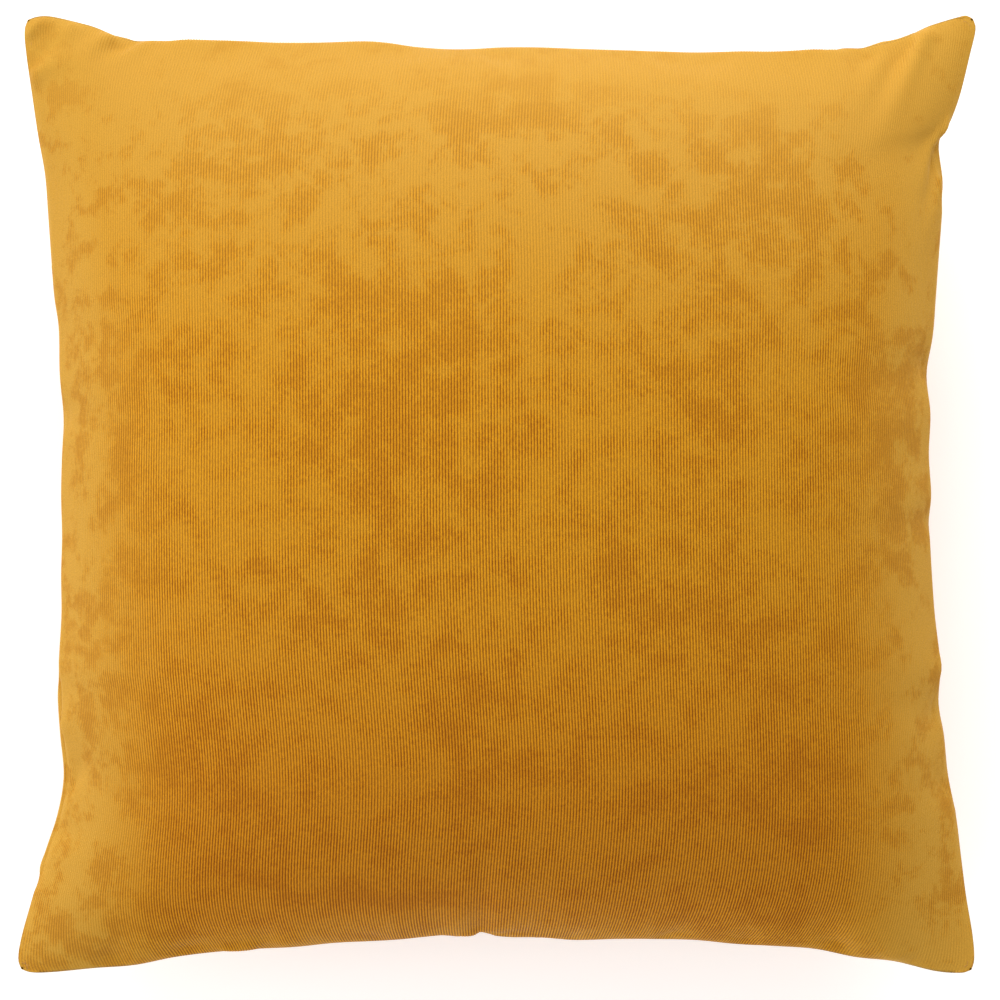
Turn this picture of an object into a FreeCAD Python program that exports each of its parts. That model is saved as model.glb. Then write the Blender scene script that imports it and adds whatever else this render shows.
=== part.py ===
import FreeCAD, Part
import math
import os
import Sketcher

# Square throw pillow: a cord-ribbed cover with a concealed zip in one seam, over a loose
# fibre-filled insert. It lies on its back panel: +X to the pillow's right, +Y to the zip
# side, +Z up out of the front panel. The origin is under the middle, on the rest plane.

DOC = FreeCAD.newDocument("throw_pillow")
SHEET = DOC.addObject("Spreadsheet::Sheet", "Dimensions")

DRIVING = [
    ("cover_half", 248.5, "half of the stuffed cover's overall square"),
    ("seam_height", 85.0, "height of the knife-edge seam over the rest plane"),
    ("front_rise", 86.0, "crown of the front panel above the seam"),
    ("edge_angle", 88.5, "how steeply the crown meets the seam, in degrees of its arc"),
    ("rest_sink", 2.0, "how far the back panel would reach below the rest plane"),
    ("cloth", 1.2, "thickness of the ribbed cover cloth"),
    ("allowance", 12.0, "seam allowance turned in at the knife edge"),
    ("thread_width", 0.6, "width of a laid stitch line"),
    ("thread_rise", 0.3, "height of a laid stitch line on the cloth"),
    ("stitch_inset", 3.0, "stitch line's distance in from the knife edge"),
    ("corner_tuck", 0.05, "how far one layer's corners round off inside the layer outside it"),
    ("insert_inset", 14.0, "insert's edge inside the cover's edge"),
    ("insert_gap", 0.8, "room between the cover cloth and the insert, at the crown"),
    ("casing", 0.4, "thickness of the insert's casing cloth"),
    ("casing_stitch_inset", 1.6, "casing's stitch line, in from the casing's edge"),
    ("casing_allowance", 6.0, "seam allowance inside the insert's casing"),
    ("fill_gap", 0.3, "room between the casing and the fill, at the crown"),
    ("zip_middle", 229.8, "distance of the zip's line from the middle of the pillow"),
    ("zip_tilt", 0.85, "degrees that the zip's line falls towards the right"),
    ("opening_left", -164.0, "left end of the opening in the seam, along the zip"),
    ("opening_right", 166.0, "right end of the opening in the seam, along the zip"),
    ("lip_gap", 0.8, "half of the slit between the two lips of cloth"),
    ("lip_cloth", 1.6, "thickness of cloth kept at each lip"),
    ("lip_fold", 6.6, "height of the cloth turned back behind each lip"),
    ("tape_left", -162.0, "left end of the zip tapes"),
    ("tape_right", 162.0, "right end of the zip tapes"),
    ("tape_start", 0.9, "height of a tape's coil edge over the seam"),
    ("tape_width", 5.4, "width of one zip tape"),
    ("fold_thickness", 1.4, "thickness of the cloth turned back behind each lip"),
    ("fold_gap", 0.1, "room between the turned-back cloth and the tape"),
    ("tape_depth", 3.6, "depth of a tape's outer face behind the lips"),
    ("tape_thickness", 0.5, "thickness of a zip tape"),
    ("coil_width", 2.2, "width of one half of the coil chain"),
    ("coil_depth", 2.2, "depth of the coil chain"),
    ("chain_left", -154.0, "closed end of the chain"),
    ("chain_right", 149.5, "open end of the chain, at the bottom stop"),
    ("stop_length", 2.8, "length of a top stop"),
    ("stop_width", 1.5, "width of a top stop"),
    ("stop_left", -160.2, "left end of the top stops"),
    ("bottom_stop_length", 4.5, "length of the bottom stop"),
    ("bottom_stop_gap", 0.3, "gap between the chain and the bottom stop"),
    ("bottom_stop_rim", 0.4, "how far the bottom stop stands out beside the chain"),
    ("bottom_stop_back", 1.0, "how far the bottom stop stands out behind the chain"),
    ("slider_left", -157.0, "left end of the slider when the zip is closed"),
    ("slider_length", 9.0, "length of the slider"),
    ("slider_half_width", 3.3, "half width of the slider's channel plate"),
    ("slider_flange", 0.8, "thickness of the slider's two flanges"),
    ("slider_plate_back", 7.7, "depth of the slider's back face"),
    ("slider_plate_front", 6.6, "depth of the slider's channel floor"),
    ("slider_flange_front", 4.4, "depth of the flanges' front edges"),
    ("neck_length", 2.7, "length of the neck that passes through the slit"),
    ("neck_half", 0.6, "half width of the neck"),
    ("crown_length", 7.5, "length of the crown outside the slit"),
    ("crown_half", 2.2, "half width of the crown"),
    ("crown_start", 0.3, "gap between the lips and the crown"),
    ("crown_top", 1.1, "outer face of the crown"),
    ("lug_half_gap", 1.6, "half of the space between the two lugs"),
    ("lug_left", 0.6, "left side of the lugs, from the slider's left end"),
    ("lug_right", 2.6, "right side of the lugs, from the slider's left end"),
    ("lug_top", 2.9, "outer end of the lugs"),
    ("pin_along", 1.6, "hinge pin's place along the slider"),
    ("pin_out", 2.1, "hinge pin's distance out from the lips"),
    ("pin_radius", 0.45, "radius of the hinge pin"),
    ("eye_radius", 0.5, "radius of the pull tab's eye"),
    ("eye_rim", 0.95, "outer radius round the pull tab's eye"),
    ("eye_half", 1.4, "half width of the eye and shank"),
    ("pull_reach", 20.0, "length of the pull tab from the pin"),
    ("pull_half_width", 2.6, "half width of the pull tab"),
    ("pull_thickness", 0.9, "thickness of the pull tab"),
    ("pull_shoulder", 4.0, "where the shank meets the wide part of the tab"),
    ("tack_half", 3.0, "half height of a bar tack"),
    ("tack_length", 1.4, "length of a bar tack along the zip"),
    ("tack_rise", 0.5, "thickness of a bar tack"),
    ("tack_start", 0.5, "gap between the lips and a bar tack"),
    ("label_left", -95.0, "left end of the sewn-in label"),
    ("label_length", 30.0, "length of the sewn-in label"),
    ("label_drop", 18.0, "drop of the sewn-in label"),
    ("label_thickness", 0.2, "thickness of the sewn-in label"),
    ("label_inset", 10.6, "label's distance in from the bottom seam"),
]
for row, (alias, value, note) in enumerate(DRIVING, start=1):
    SHEET.set(f"A{row}", note)
    SHEET.set(f"B{row}", str(value))
    SHEET.setAlias(f"B{row}", alias)
DOC.recompute()
# How far a cutting block reaches past what it cuts.
SPARE = 0.5


def dim(alias):
    return float(SHEET.get(alias))


# The knife edge, side by side and corner to corner, in millimetres from the middle. Each side is
# pulled in between its corners, and the corners stand out as soft ears.
BOTTOM_LEFT = (-248.0, -246.5)
BOTTOM_RIGHT = (248.5, -247.5)
TOP_LEFT = (-245.5, 248.0)
TOP_RIGHT = (248.0, 248.5)
LEFT_SIDE = [(-244.0, -222.0), (-235.0, -187.0), (-225.5, -148.0), (-227.0, -84.0), (-225.0, 0.0),
             (-227.0, 80.0), (-232.0, 145.0), (-238.5, 195.0), (-244.0, 227.0)]
RIGHT_SIDE = [(246.0, -224.0), (240.5, -187.0), (233.5, -145.0), (228.5, -84.0), (225.0, 0.0),
              (224.0, 60.0), (229.5, 125.0), (232.0, 178.0), (243.0, 218.0)]
BOTTOM_SIDE = [(-220.0, -246.0), (-187.0, -243.0), (-146.0, -237.0), (-84.0, -232.5), (-10.0, -229.0),
               (80.0, -230.5), (145.0, -234.0), (187.0, -239.5), (222.0, -246.0)]
TOP_LEFT_EAR = [(-227.0, 245.5), (-207.0, 240.5)]
TOP_RIGHT_EAR = [(209.0, 237.0), (228.0, 243.8)]
ZIP_STATIONS = [-188.0, -184.0, -150.0, -75.0, 0.0, 75.0, 150.0, 184.0, 190.0]


def zip_line(x):
    """Height of the zip's straight line, in Y, at a given X."""
    return dim("zip_middle") - math.tan(math.radians(dim("zip_tilt"))) * x


def smooth_side(points, along):
    """A planar curve through the points, even in the coordinate that runs along the side."""
    first, last = points[0][along], points[-1][along]
    curve = Part.BSplineCurve()
    curve.interpolate(Points=[FreeCAD.Vector(x, y, 0) for x, y in points],
                      Parameters=[(point[along] - first) / (last - first) for point in points])
    return curve


TOP_SIDE = TOP_LEFT_EAR + [(x, zip_line(x)) for x in ZIP_STATIONS] + TOP_RIGHT_EAR
SIDES = {
    "bottom": smooth_side([BOTTOM_LEFT] + BOTTOM_SIDE + [BOTTOM_RIGHT], 0),
    "top": smooth_side([TOP_LEFT] + TOP_SIDE + [TOP_RIGHT], 0),
    "left": smooth_side([BOTTOM_LEFT] + LEFT_SIDE + [TOP_LEFT], 1),
    "right": smooth_side([BOTTOM_RIGHT] + RIGHT_SIDE + [TOP_RIGHT], 1),
}
CORNERS = [FreeCAD.Vector(x, y, 0) for x, y in (BOTTOM_LEFT, BOTTOM_RIGHT, TOP_LEFT, TOP_RIGHT)]
STATIONS = 29


def plan_point(across, up):
    """A point of the pillow's plan, from 0 to 1 each way, blended between the four sides."""
    between = SIDES["bottom"].value(across) * (1 - up) + SIDES["top"].value(across) * up
    beside = SIDES["left"].value(up) * (1 - across) + SIDES["right"].value(up) * across
    corner = (CORNERS[0] * ((1 - across) * (1 - up)) + CORNERS[1] * (across * (1 - up))
              + CORNERS[2] * ((1 - across) * up) + CORNERS[3] * (across * up))
    return between + beside - corner


def crowned_face(inset, base, rise, lip=0.0, tucks=0):
    """A crowned sheet over the plan, drawn in by inset, with its edge at height base + lip.

    lip lifts only the edge, and each of the tucks rounds the corners off a little more."""
    shrink = 1 - inset / dim("cover_half")
    steep = math.radians(dim("edge_angle"))
    angles = [steep * (2 * step / (STATIONS - 1) - 1) for step in range(STATIONS)]
    # Each station's place from -1 to 1 across the plan, and its share of the crown from 0 to 1.
    stations = [(math.sin(angle) / math.sin(steep),
                 (math.cos(angle) - math.cos(steep)) / (1 - math.cos(steep))) for angle in angles]
    grid = []
    for across, crown_across in stations:
        column = []
        for up, crown_up in stations:
            spot = plan_point((across + 1) / 2, (up + 1) / 2)
            spot = spot * shrink * (1 - tucks * dim("corner_tuck") * (across * up) ** 8)
            crown = crown_across * crown_up
            column.append(FreeCAD.Vector(spot.x, spot.y, base + rise * crown + lip * (1 - crown) ** 12))
        grid.append(column)
    surface = Part.BSplineSurface()
    surface.interpolate(grid)
    return surface.toShape()


def flat_edge(inset, height, tucks):
    """The closed edge of the plan at one height, drawn in by inset."""
    return crowned_face(inset, height, 0.0, 0.0, tucks).OuterWire


def band_face(outer_edge, inner_edge):
    """The flat face between two closed edges at one height."""
    return Part.makeFace([outer_edge, inner_edge], "Part::FaceMakerBullseye")


def ring_solid(outer_inset, inner_inset, base, rise, tucks):
    """A flat band that follows the plan's edge."""
    band = band_face(flat_edge(outer_inset, base, tucks), flat_edge(inner_inset, base, tucks))
    return band.extrude(FreeCAD.Vector(0, 0, rise))


def solid_from(faces):
    shell = Part.makeShell(faces)
    shell.sewShape()
    solid = Part.makeSolid(shell)
    if solid.Volume < 0:
        solid.reverse()
    return solid


def sewn_panel(inset, rise, cloth, allowance, side, tucks):
    """Half of a case: a crowned wall of cloth with its seam allowance turned in.

    side is +1 for a half that crowns upward from the seam and -1 for one that crowns downward."""
    seam = dim("seam_height")
    outer = crowned_face(inset, seam, side * rise, 0.0, tucks)
    inner = crowned_face(inset + cloth, seam, side * (rise - cloth), side * cloth, tucks + 1)
    low_edge = flat_edge(inset + allowance, seam, tucks + 1)
    high_edge = flat_edge(inset + allowance, seam + side * cloth, tucks + 1)
    low_flange = band_face(outer.OuterWire, low_edge)
    high_flange = band_face(inner.OuterWire, high_edge)
    end_wall = Part.makeRuledSurface(low_edge, high_edge)
    return solid_from([outer, inner, low_flange, high_flange] + end_wall.Faces)


# The zip has a frame of its own: x along the zip, y out through the slit, z up from the seam.
ZIP_FRAME = FreeCAD.Placement(
    FreeCAD.Vector(0, dim("zip_middle"), dim("seam_height")),
    FreeCAD.Rotation(FreeCAD.Vector(0, 0, 1), -dim("zip_tilt")))


def zip_box(left, right, inner, outer, low, high):
    """A plain block in the zip's frame, as a shape."""
    block = Part.makeBox(right - left, outer - inner, high - low, FreeCAD.Vector(left, inner, low))
    block.Placement = ZIP_FRAME.multiply(block.Placement)
    return block


def zip_opening_cut(panel, side):
    """Opens the seam along the zip: takes the allowance away there, and turns it back behind the lip."""
    left, right = dim("opening_left"), dim("opening_right")
    cloth, gap = dim("cloth"), dim("lip_gap")
    reach = 1.5 * dim("allowance")
    low, high = sorted((-SPARE * side, (cloth + SPARE) * side))
    opened = panel.cut(zip_box(left, right, -reach, -dim("lip_cloth"), low, high))
    low, high = sorted((-SPARE * side, gap * side))
    opened = opened.cut(zip_box(left, right, -reach, cloth, low, high))
    low, high = sorted((gap * side, dim("lip_fold") * side))
    fold_back = dim("fold_gap") - dim("tape_depth")
    fold = zip_box(left, right, fold_back, fold_back + dim("fold_thickness"), low, high)
    return opened.fuse(fold)


def add_feature(label, shape):
    """A sculpted piece that neither a body nor a primitive can hold."""
    feature = DOC.addObject("Part::Feature", label)
    feature.Label = label
    feature.Shape = shape
    feature.Placement = FreeCAD.Placement()
    return feature


def add_zip_block(label, length, depth, height, left, inner, low):
    """A block in the zip's frame; its three sizes are formulas on the sheet, its place is three numbers."""
    block = DOC.addObject("Part::Box", label)
    block.Label = label
    for name, formula in (("Length", length), ("Width", depth), ("Height", height)):
        block.setExpression(name, formula)
    block.Placement = ZIP_FRAME.multiply(FreeCAD.Placement(FreeCAD.Vector(left, inner, low),
                                                           FreeCAD.Rotation()))
    return block


def origin_plane(body, role):
    return next(item for item in body.Origin.OriginFeatures if item.Role == role)


def add_sketch(body, role, name):
    sketch = body.newObject("Sketcher::SketchObject", name)
    sketch.AttachmentSupport = [(origin_plane(body, role), "")]
    sketch.MapMode = "FlatFace"
    return sketch


def bind(sketch, constraint, formula):
    index = sketch.addConstraint(constraint)
    sketch.setExpression(f"Constraints[{index}]", formula)


def sketch_rectangle(sketch, left, right, low, high):
    """A rectangle whose four sides are formulas on the sheet, measured from the sketch's origin."""
    corners = [FreeCAD.Vector(x, y, 0) for x, y in ((0, 0), (1, 0), (1, 1), (0, 1))]
    start = sketch.GeometryCount
    for index in range(4):
        sketch.addGeometry(Part.LineSegment(corners[index], corners[(index + 1) % 4]), False)
    for index in range(4):
        sketch.addConstraint(Sketcher.Constraint("Coincident", start + index, 2,
                                                 start + (index + 1) % 4, 1))
    for index, kind in enumerate(("Horizontal", "Vertical", "Horizontal", "Vertical")):
        sketch.addConstraint(Sketcher.Constraint(kind, start + index))
    bind(sketch, Sketcher.Constraint("DistanceX", -1, 1, start, 1, 0.1), left)
    bind(sketch, Sketcher.Constraint("DistanceX", -1, 1, start + 1, 2, 1.1), right)
    bind(sketch, Sketcher.Constraint("DistanceY", -1, 1, start, 1, 0.1), low)
    bind(sketch, Sketcher.Constraint("DistanceY", -1, 1, start + 1, 2, 1.1), high)


def sketch_circle(sketch, across, up, radius):
    index = sketch.addGeometry(Part.Circle(FreeCAD.Vector(1, 1, 0), FreeCAD.Vector(0, 0, 1), 0.5), False)
    bind(sketch, Sketcher.Constraint("DistanceX", -1, 1, index, 3, 1.0), across)
    bind(sketch, Sketcher.Constraint("DistanceY", -1, 1, index, 3, 1.0), up)
    bind(sketch, Sketcher.Constraint("Radius", index, 0.5), radius)


def swell(body, kind, name, sketch, length):
    """A pad or pocket, even to both sides of the sketch's plane."""
    feature = body.newObject(kind, name)
    feature.Profile = sketch
    feature.Midplane = True
    feature.setExpression("Length", length)
    return feature


def add_body(label, placement):
    body = DOC.addObject("PartDesign::Body", label)
    body.Label = label
    body.Placement = placement
    return body


def sheet(formula):
    """Turns the sheet's plain words in a formula into references to its cells."""
    words = sorted((alias for alias, _, _ in DRIVING), key=len, reverse=True)
    parts = []
    for token in formula.replace("(", " ( ").replace(")", " ) ").split():
        parts.append(f"Dimensions.{token}" if token in words else token)
    return " ".join(parts)


def build_cover():
    """Front and back panels. The pillow's weight presses a flat patch into the back one."""
    seam, cloth, allowance = dim("seam_height"), dim("cloth"), dim("allowance")
    depth = seam + dim("rest_sink")
    front = sewn_panel(0, dim("front_rise"), cloth, allowance, 1, 0)
    back = sewn_panel(0, depth, cloth, allowance, -1, 0)
    reach = 2 * dim("cover_half")
    under = Part.makeBox(reach, reach, seam, FreeCAD.Vector(-reach / 2, -reach / 2, -seam))
    crown = crowned_face(0, seam, -depth)
    body = solid_from([crown, Part.makeFace([crown.OuterWire], "Part::FaceMakerBullseye")])
    slab = Part.makeBox(reach, reach, cloth, FreeCAD.Vector(-reach / 2, -reach / 2, 0))
    back = back.cut(under).fuse(body.common(slab))
    add_feature("front_panel", zip_opening_cut(front, 1))
    add_feature("back_panel", zip_opening_cut(back, -1))


def build_cover_thread():
    """Needle thread on the front allowance, bobbin thread under the back one, overlock round the raw edge."""
    seam, cloth = dim("seam_height"), dim("cloth")
    width, rise, inset = dim("thread_width"), dim("thread_rise"), dim("stitch_inset")
    reach = 1.5 * dim("allowance")
    gate = zip_box(dim("opening_left"), dim("opening_right"), -reach, cloth, -cloth * 2, cloth * 2)
    needle = ring_solid(inset, inset + width, seam + cloth, rise, 1)
    bobbin = ring_solid(inset, inset + width, seam - cloth - rise, rise, 1)
    edge = dim("allowance") + 0.1
    overlock = ring_solid(edge, edge + width, seam - cloth, 2 * cloth, 1)
    add_feature("seam_needle_thread", needle.cut(gate))
    add_feature("seam_bobbin_thread", bobbin.cut(gate))
    add_feature("overlock_thread", overlock.cut(gate))


def build_insert():
    seam, casing, inset = dim("seam_height"), dim("casing"), dim("insert_inset")
    spare = dim("cloth") + dim("insert_gap")
    front_rise = dim("front_rise") - spare
    back_rise = seam - spare
    allowance = dim("casing_allowance")
    add_feature("insert_front_panel", sewn_panel(inset, front_rise, casing, allowance, 1, 1))
    add_feature("insert_back_panel", sewn_panel(inset, back_rise, casing, allowance, -1, 1))
    row = inset + dim("casing_stitch_inset")
    add_feature("insert_seam_thread",
                ring_solid(row, row + dim("thread_width"), seam + casing, dim("thread_rise"), 2))
    slack = 2 * casing + dim("fill_gap")
    fill_inset = inset + allowance + 1
    halves = [(seam + casing, front_rise - casing - slack), (seam - casing, casing + slack - back_rise)]
    top, bottom = [crowned_face(fill_inset, edge, rise, 0.0, 2) for edge, rise in halves]
    rim = Part.makeRuledSurface(bottom.OuterWire, top.OuterWire)
    add_feature("fibre_fill", solid_from([top, bottom] + rim.Faces))


def build_label():
    """A blank folded label, sewn under the back allowance of the bottom seam."""
    label = DOC.addObject("Part::Box", "care_label")
    label.Label = "care_label"
    label.setExpression("Length", sheet("label_length"))
    label.setExpression("Width", sheet("label_thickness"))
    label.setExpression("Height", sheet("label_drop"))
    middle = dim("label_left") + dim("label_length") / 2
    seam_edge = SIDES["bottom"].value(0.5 + middle / (2 * dim("cover_half"))).y
    label.Placement = FreeCAD.Placement(
        FreeCAD.Vector(dim("label_left"), seam_edge + dim("label_inset"),
                       dim("seam_height") - dim("cloth") - dim("label_drop")), FreeCAD.Rotation())


def build_zip_chain():
    back_of_tape = -dim("tape_depth") - dim("tape_thickness")
    tape_foot = dim("tape_start")
    for name, side in (("front", 1), ("back", -1)):
        low = tape_foot if side > 0 else -tape_foot - dim("tape_width")
        add_zip_block(f"zip_tape_{name}", sheet("tape_right - tape_left"), sheet("tape_thickness"),
                      sheet("tape_width"), dim("tape_left"), back_of_tape, low)
        low = 0 if side > 0 else -dim("coil_width")
        add_zip_block(f"zip_coil_{name}", sheet("chain_right - chain_left"), sheet("coil_depth"),
                      sheet("coil_width"), dim("chain_left"), back_of_tape - dim("coil_depth"), low)
        middle = side * (tape_foot + dim("tape_width") / 2)
        add_zip_block(f"zip_stitching_{name}", sheet("tape_right - tape_left"), sheet("thread_rise"),
                      sheet("thread_width"), dim("tape_left"), back_of_tape - dim("thread_rise"),
                      middle - dim("thread_width") / 2)
        low = tape_foot if side > 0 else -tape_foot - dim("stop_width")
        add_zip_block(f"zip_top_stop_{name}", sheet("stop_length"), sheet("coil_depth"),
                      sheet("stop_width"), dim("stop_left"), back_of_tape - dim("coil_depth"), low)
    add_zip_block("zip_bottom_stop", sheet("bottom_stop_length"), sheet("coil_depth + bottom_stop_back"),
                  sheet("2 * ( coil_width + bottom_stop_rim )"),
                  dim("chain_right") + dim("bottom_stop_gap"),
                  back_of_tape - dim("coil_depth") - dim("bottom_stop_back"),
                  -dim("coil_width") - dim("bottom_stop_rim"))


def build_slider():
    body = add_body("zip_slider_body", ZIP_FRAME.multiply(
        FreeCAD.Placement(FreeCAD.Vector(dim("slider_left"), 0, 0), FreeCAD.Rotation())))
    steps = [
        ("PartDesign::Pad", "channel_block", "2 * slider_half_width",
         ("0", "slider_length", "- slider_plate_back", "- slider_flange_front")),
        ("PartDesign::Pocket", "coil_channel", "2 * ( slider_half_width - slider_flange )",
         ("-1", "slider_length + 1", "- slider_plate_front", "1 - slider_flange_front")),
        ("PartDesign::Pad", "neck", "2 * neck_half",
         ("0", "neck_length", "- slider_plate_front - 0.3", "crown_start + 0.3")),
        ("PartDesign::Pad", "crown", "2 * crown_half",
         ("0", "crown_length", "crown_start", "crown_top")),
        ("PartDesign::Pad", "lugs", "2 * crown_half",
         ("lug_left", "lug_right", "crown_top - 0.2", "lug_top")),
        ("PartDesign::Pocket", "lug_space", "2 * lug_half_gap",
         ("lug_left - 0.5", "lug_right + 0.5", "crown_top", "lug_top + 1")),
    ]
    for kind, name, length, sides in steps:
        sketch = add_sketch(body, "XY_Plane", f"slider_{name}_sketch")
        DOC.recompute()
        volume = body.Shape.Volume if body.Tip else 0
        sketch_rectangle(sketch, *[sheet(side) for side in sides])
        swell(body, kind, f"slider_{name}", sketch, sheet(length))
        DOC.recompute()
        grown = body.Shape.Volume - volume
        if (grown > 0) != (kind == "PartDesign::Pad"):
            raise ValueError(f"{name} changed the slider by {grown:.3f} mm3")
    sketch = add_sketch(body, "XY_Plane", "slider_pin_sketch")
    sketch_circle(sketch, sheet("pin_along"), sheet("pin_out"), sheet("pin_radius"))
    swell(body, "PartDesign::Pad", "slider_pin", sketch, sheet("2 * lug_half_gap + 0.2"))


def build_pull():
    """A flat tab with a narrow shank and an eye round the slider's pin."""
    place = FreeCAD.Vector(dim("slider_left") + dim("pin_along"), dim("pin_out"), 0)
    body = add_body("zip_pull_tab", ZIP_FRAME.multiply(FreeCAD.Placement(place, FreeCAD.Rotation())))
    rim = add_sketch(body, "XY_Plane", "pull_rim_sketch")
    sketch_circle(rim, "0", "0", sheet("eye_rim"))
    swell(body, "PartDesign::Pad", "pull_rim", rim, sheet("2 * eye_half"))
    shank = add_sketch(body, "XY_Plane", "pull_shank_sketch")
    sketch_rectangle(shank, sheet("eye_radius + 0.2"), sheet("pull_shoulder + 1"),
                     sheet("- pull_thickness / 2"), sheet("pull_thickness / 2"))
    swell(body, "PartDesign::Pad", "pull_shank", shank, sheet("2 * eye_half"))
    tab = add_sketch(body, "XY_Plane", "pull_tab_sketch")
    sketch_rectangle(tab, sheet("pull_shoulder"), sheet("pull_reach"),
                     sheet("- pull_thickness / 2"), sheet("pull_thickness / 2"))
    swell(body, "PartDesign::Pad", "pull_plate", tab, sheet("2 * pull_half_width"))
    eye = add_sketch(body, "XY_Plane", "pull_eye_sketch")
    sketch_circle(eye, "0", "0", sheet("eye_radius"))
    swell(body, "PartDesign::Pocket", "pull_eye", eye, sheet("2 * eye_half + 1"))
    DOC.recompute()
    corners = [f"Edge{index}" for index, edge in enumerate(body.Shape.Edges, start=1)
               if is_tab_corner(body, edge)]
    plain_tab = body.Tip
    rounding = body.newObject("PartDesign::Fillet", "pull_corners")
    rounding.Base = (plain_tab, corners)
    rounding.setExpression("Radius", sheet("pull_half_width * 0.6"))


def is_tab_corner(body, edge):
    """The short edges across the tab's thickness, at its two far corners."""
    local = body.Placement.inverse()
    ends = [local.multVec(vertex.Point) for vertex in edge.Vertexes]
    if len(ends) != 2:
        return False
    far = all(abs(end.x - dim("pull_reach")) < 1e-4 for end in ends)
    across_thickness = abs(abs(ends[0].y - ends[1].y) - dim("pull_thickness")) < 1e-4
    return far and across_thickness


def build_bar_tacks():
    """Dense bars of thread that close each end of the slit."""
    starts = (("closed_end", dim("opening_left")), ("open_end", dim("opening_right") - dim("tack_length")))
    for name, left in starts:
        add_zip_block(f"bar_tack_{name}", sheet("tack_length"), sheet("tack_rise"), sheet("2 * tack_half"),
                      left, dim("tack_start"), -dim("tack_half"))


def sub_parts():
    kinds = ("Part::Feature", "Part::Box", "PartDesign::Body")
    return [item for item in DOC.Objects if item.TypeId in kinds]


def check_and_write():
    DOC.recompute()
    for item in DOC.Objects:
        if "Invalid" in item.State or "Error" in item.State:
            raise ValueError(f"{item.Name} did not build: {item.State}")
    os.makedirs("parts", exist_ok=True)
    for item in sub_parts():
        shape = item.Shape
        if shape.isNull() or not shape.isValid():
            raise ValueError(f"{item.Label} has no valid shape")
        shape.exportStep(f"parts/{item.Label}.step")
        print(f"{item.Label:22s} {len(shape.Solids)} solid(s) {shape.Volume / 1000:10.3f} cm3")


build_cover()
build_cover_thread()
build_insert()
build_label()
build_zip_chain()
build_slider()
build_pull()
build_bar_tacks()
check_and_write()
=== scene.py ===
# %% [markdown]
# # A throw pillow in needlecord
# This lesson builds a square, knife-edge throw pillow: two panels of mustard needlecord sewn
# together round the edge, with a hidden zip in the top seam, over a loose fibre-filled insert.
# The engineering model is loaded first, and stays as the frame that each soft piece has to fit.

# %% Load the frame
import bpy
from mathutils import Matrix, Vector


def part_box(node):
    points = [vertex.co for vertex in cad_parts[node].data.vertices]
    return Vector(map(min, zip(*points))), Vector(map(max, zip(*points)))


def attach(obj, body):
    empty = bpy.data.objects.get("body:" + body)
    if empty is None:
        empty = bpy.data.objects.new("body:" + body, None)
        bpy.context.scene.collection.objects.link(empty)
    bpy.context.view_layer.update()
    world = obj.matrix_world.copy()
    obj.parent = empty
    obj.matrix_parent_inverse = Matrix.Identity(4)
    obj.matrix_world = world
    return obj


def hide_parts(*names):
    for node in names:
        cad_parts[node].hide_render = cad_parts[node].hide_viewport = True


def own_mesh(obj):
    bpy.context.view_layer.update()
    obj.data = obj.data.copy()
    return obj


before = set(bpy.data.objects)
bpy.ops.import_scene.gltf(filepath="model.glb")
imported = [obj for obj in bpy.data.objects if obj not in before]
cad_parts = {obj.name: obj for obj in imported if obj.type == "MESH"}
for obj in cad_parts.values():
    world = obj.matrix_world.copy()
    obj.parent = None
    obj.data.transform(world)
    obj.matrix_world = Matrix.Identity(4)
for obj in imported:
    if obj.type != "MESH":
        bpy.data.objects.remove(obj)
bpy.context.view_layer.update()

# %% [markdown]
# The whole pillow is described in metres, like the frame. Cloth is easier to think about in
# millimetres, so the lists below are in millimetres and are multiplied by MM where they are used.
# The seam lies flat at one height. The zip has a straight line of its own, a little off level.

# %% Sizes that every piece shares
import math
import bmesh
import bpy
import numpy as np
from mathutils import Vector

MM = 0.001
SEAM = 85 * MM
FRONT_RISE = 86 * MM
BACK_DROP = 87 * MM
CUT_HALF = 257.5 * MM
ALLOWANCE = 12 * MM
RIBS_ACROSS = 344
ZIP_MIDDLE = 229.8 * MM
ZIP_TILT = math.radians(0.85)
ZIP_LEFT, ZIP_RIGHT = -164 * MM, 166 * MM
RNG = np.random.default_rng(7)


def zip_point(along, out, up):
    """A place given along the zip, out through its slit, and up from the seam, in metres."""
    turn_cos, turn_sin = math.cos(ZIP_TILT), math.sin(ZIP_TILT)
    return (along * turn_cos + out * turn_sin,
            ZIP_MIDDLE - along * turn_sin + out * turn_cos, SEAM + up)


print("rib to rib:", round(2 * CUT_HALF / RIBS_ACROSS / MM, 3), "mm")
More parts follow.
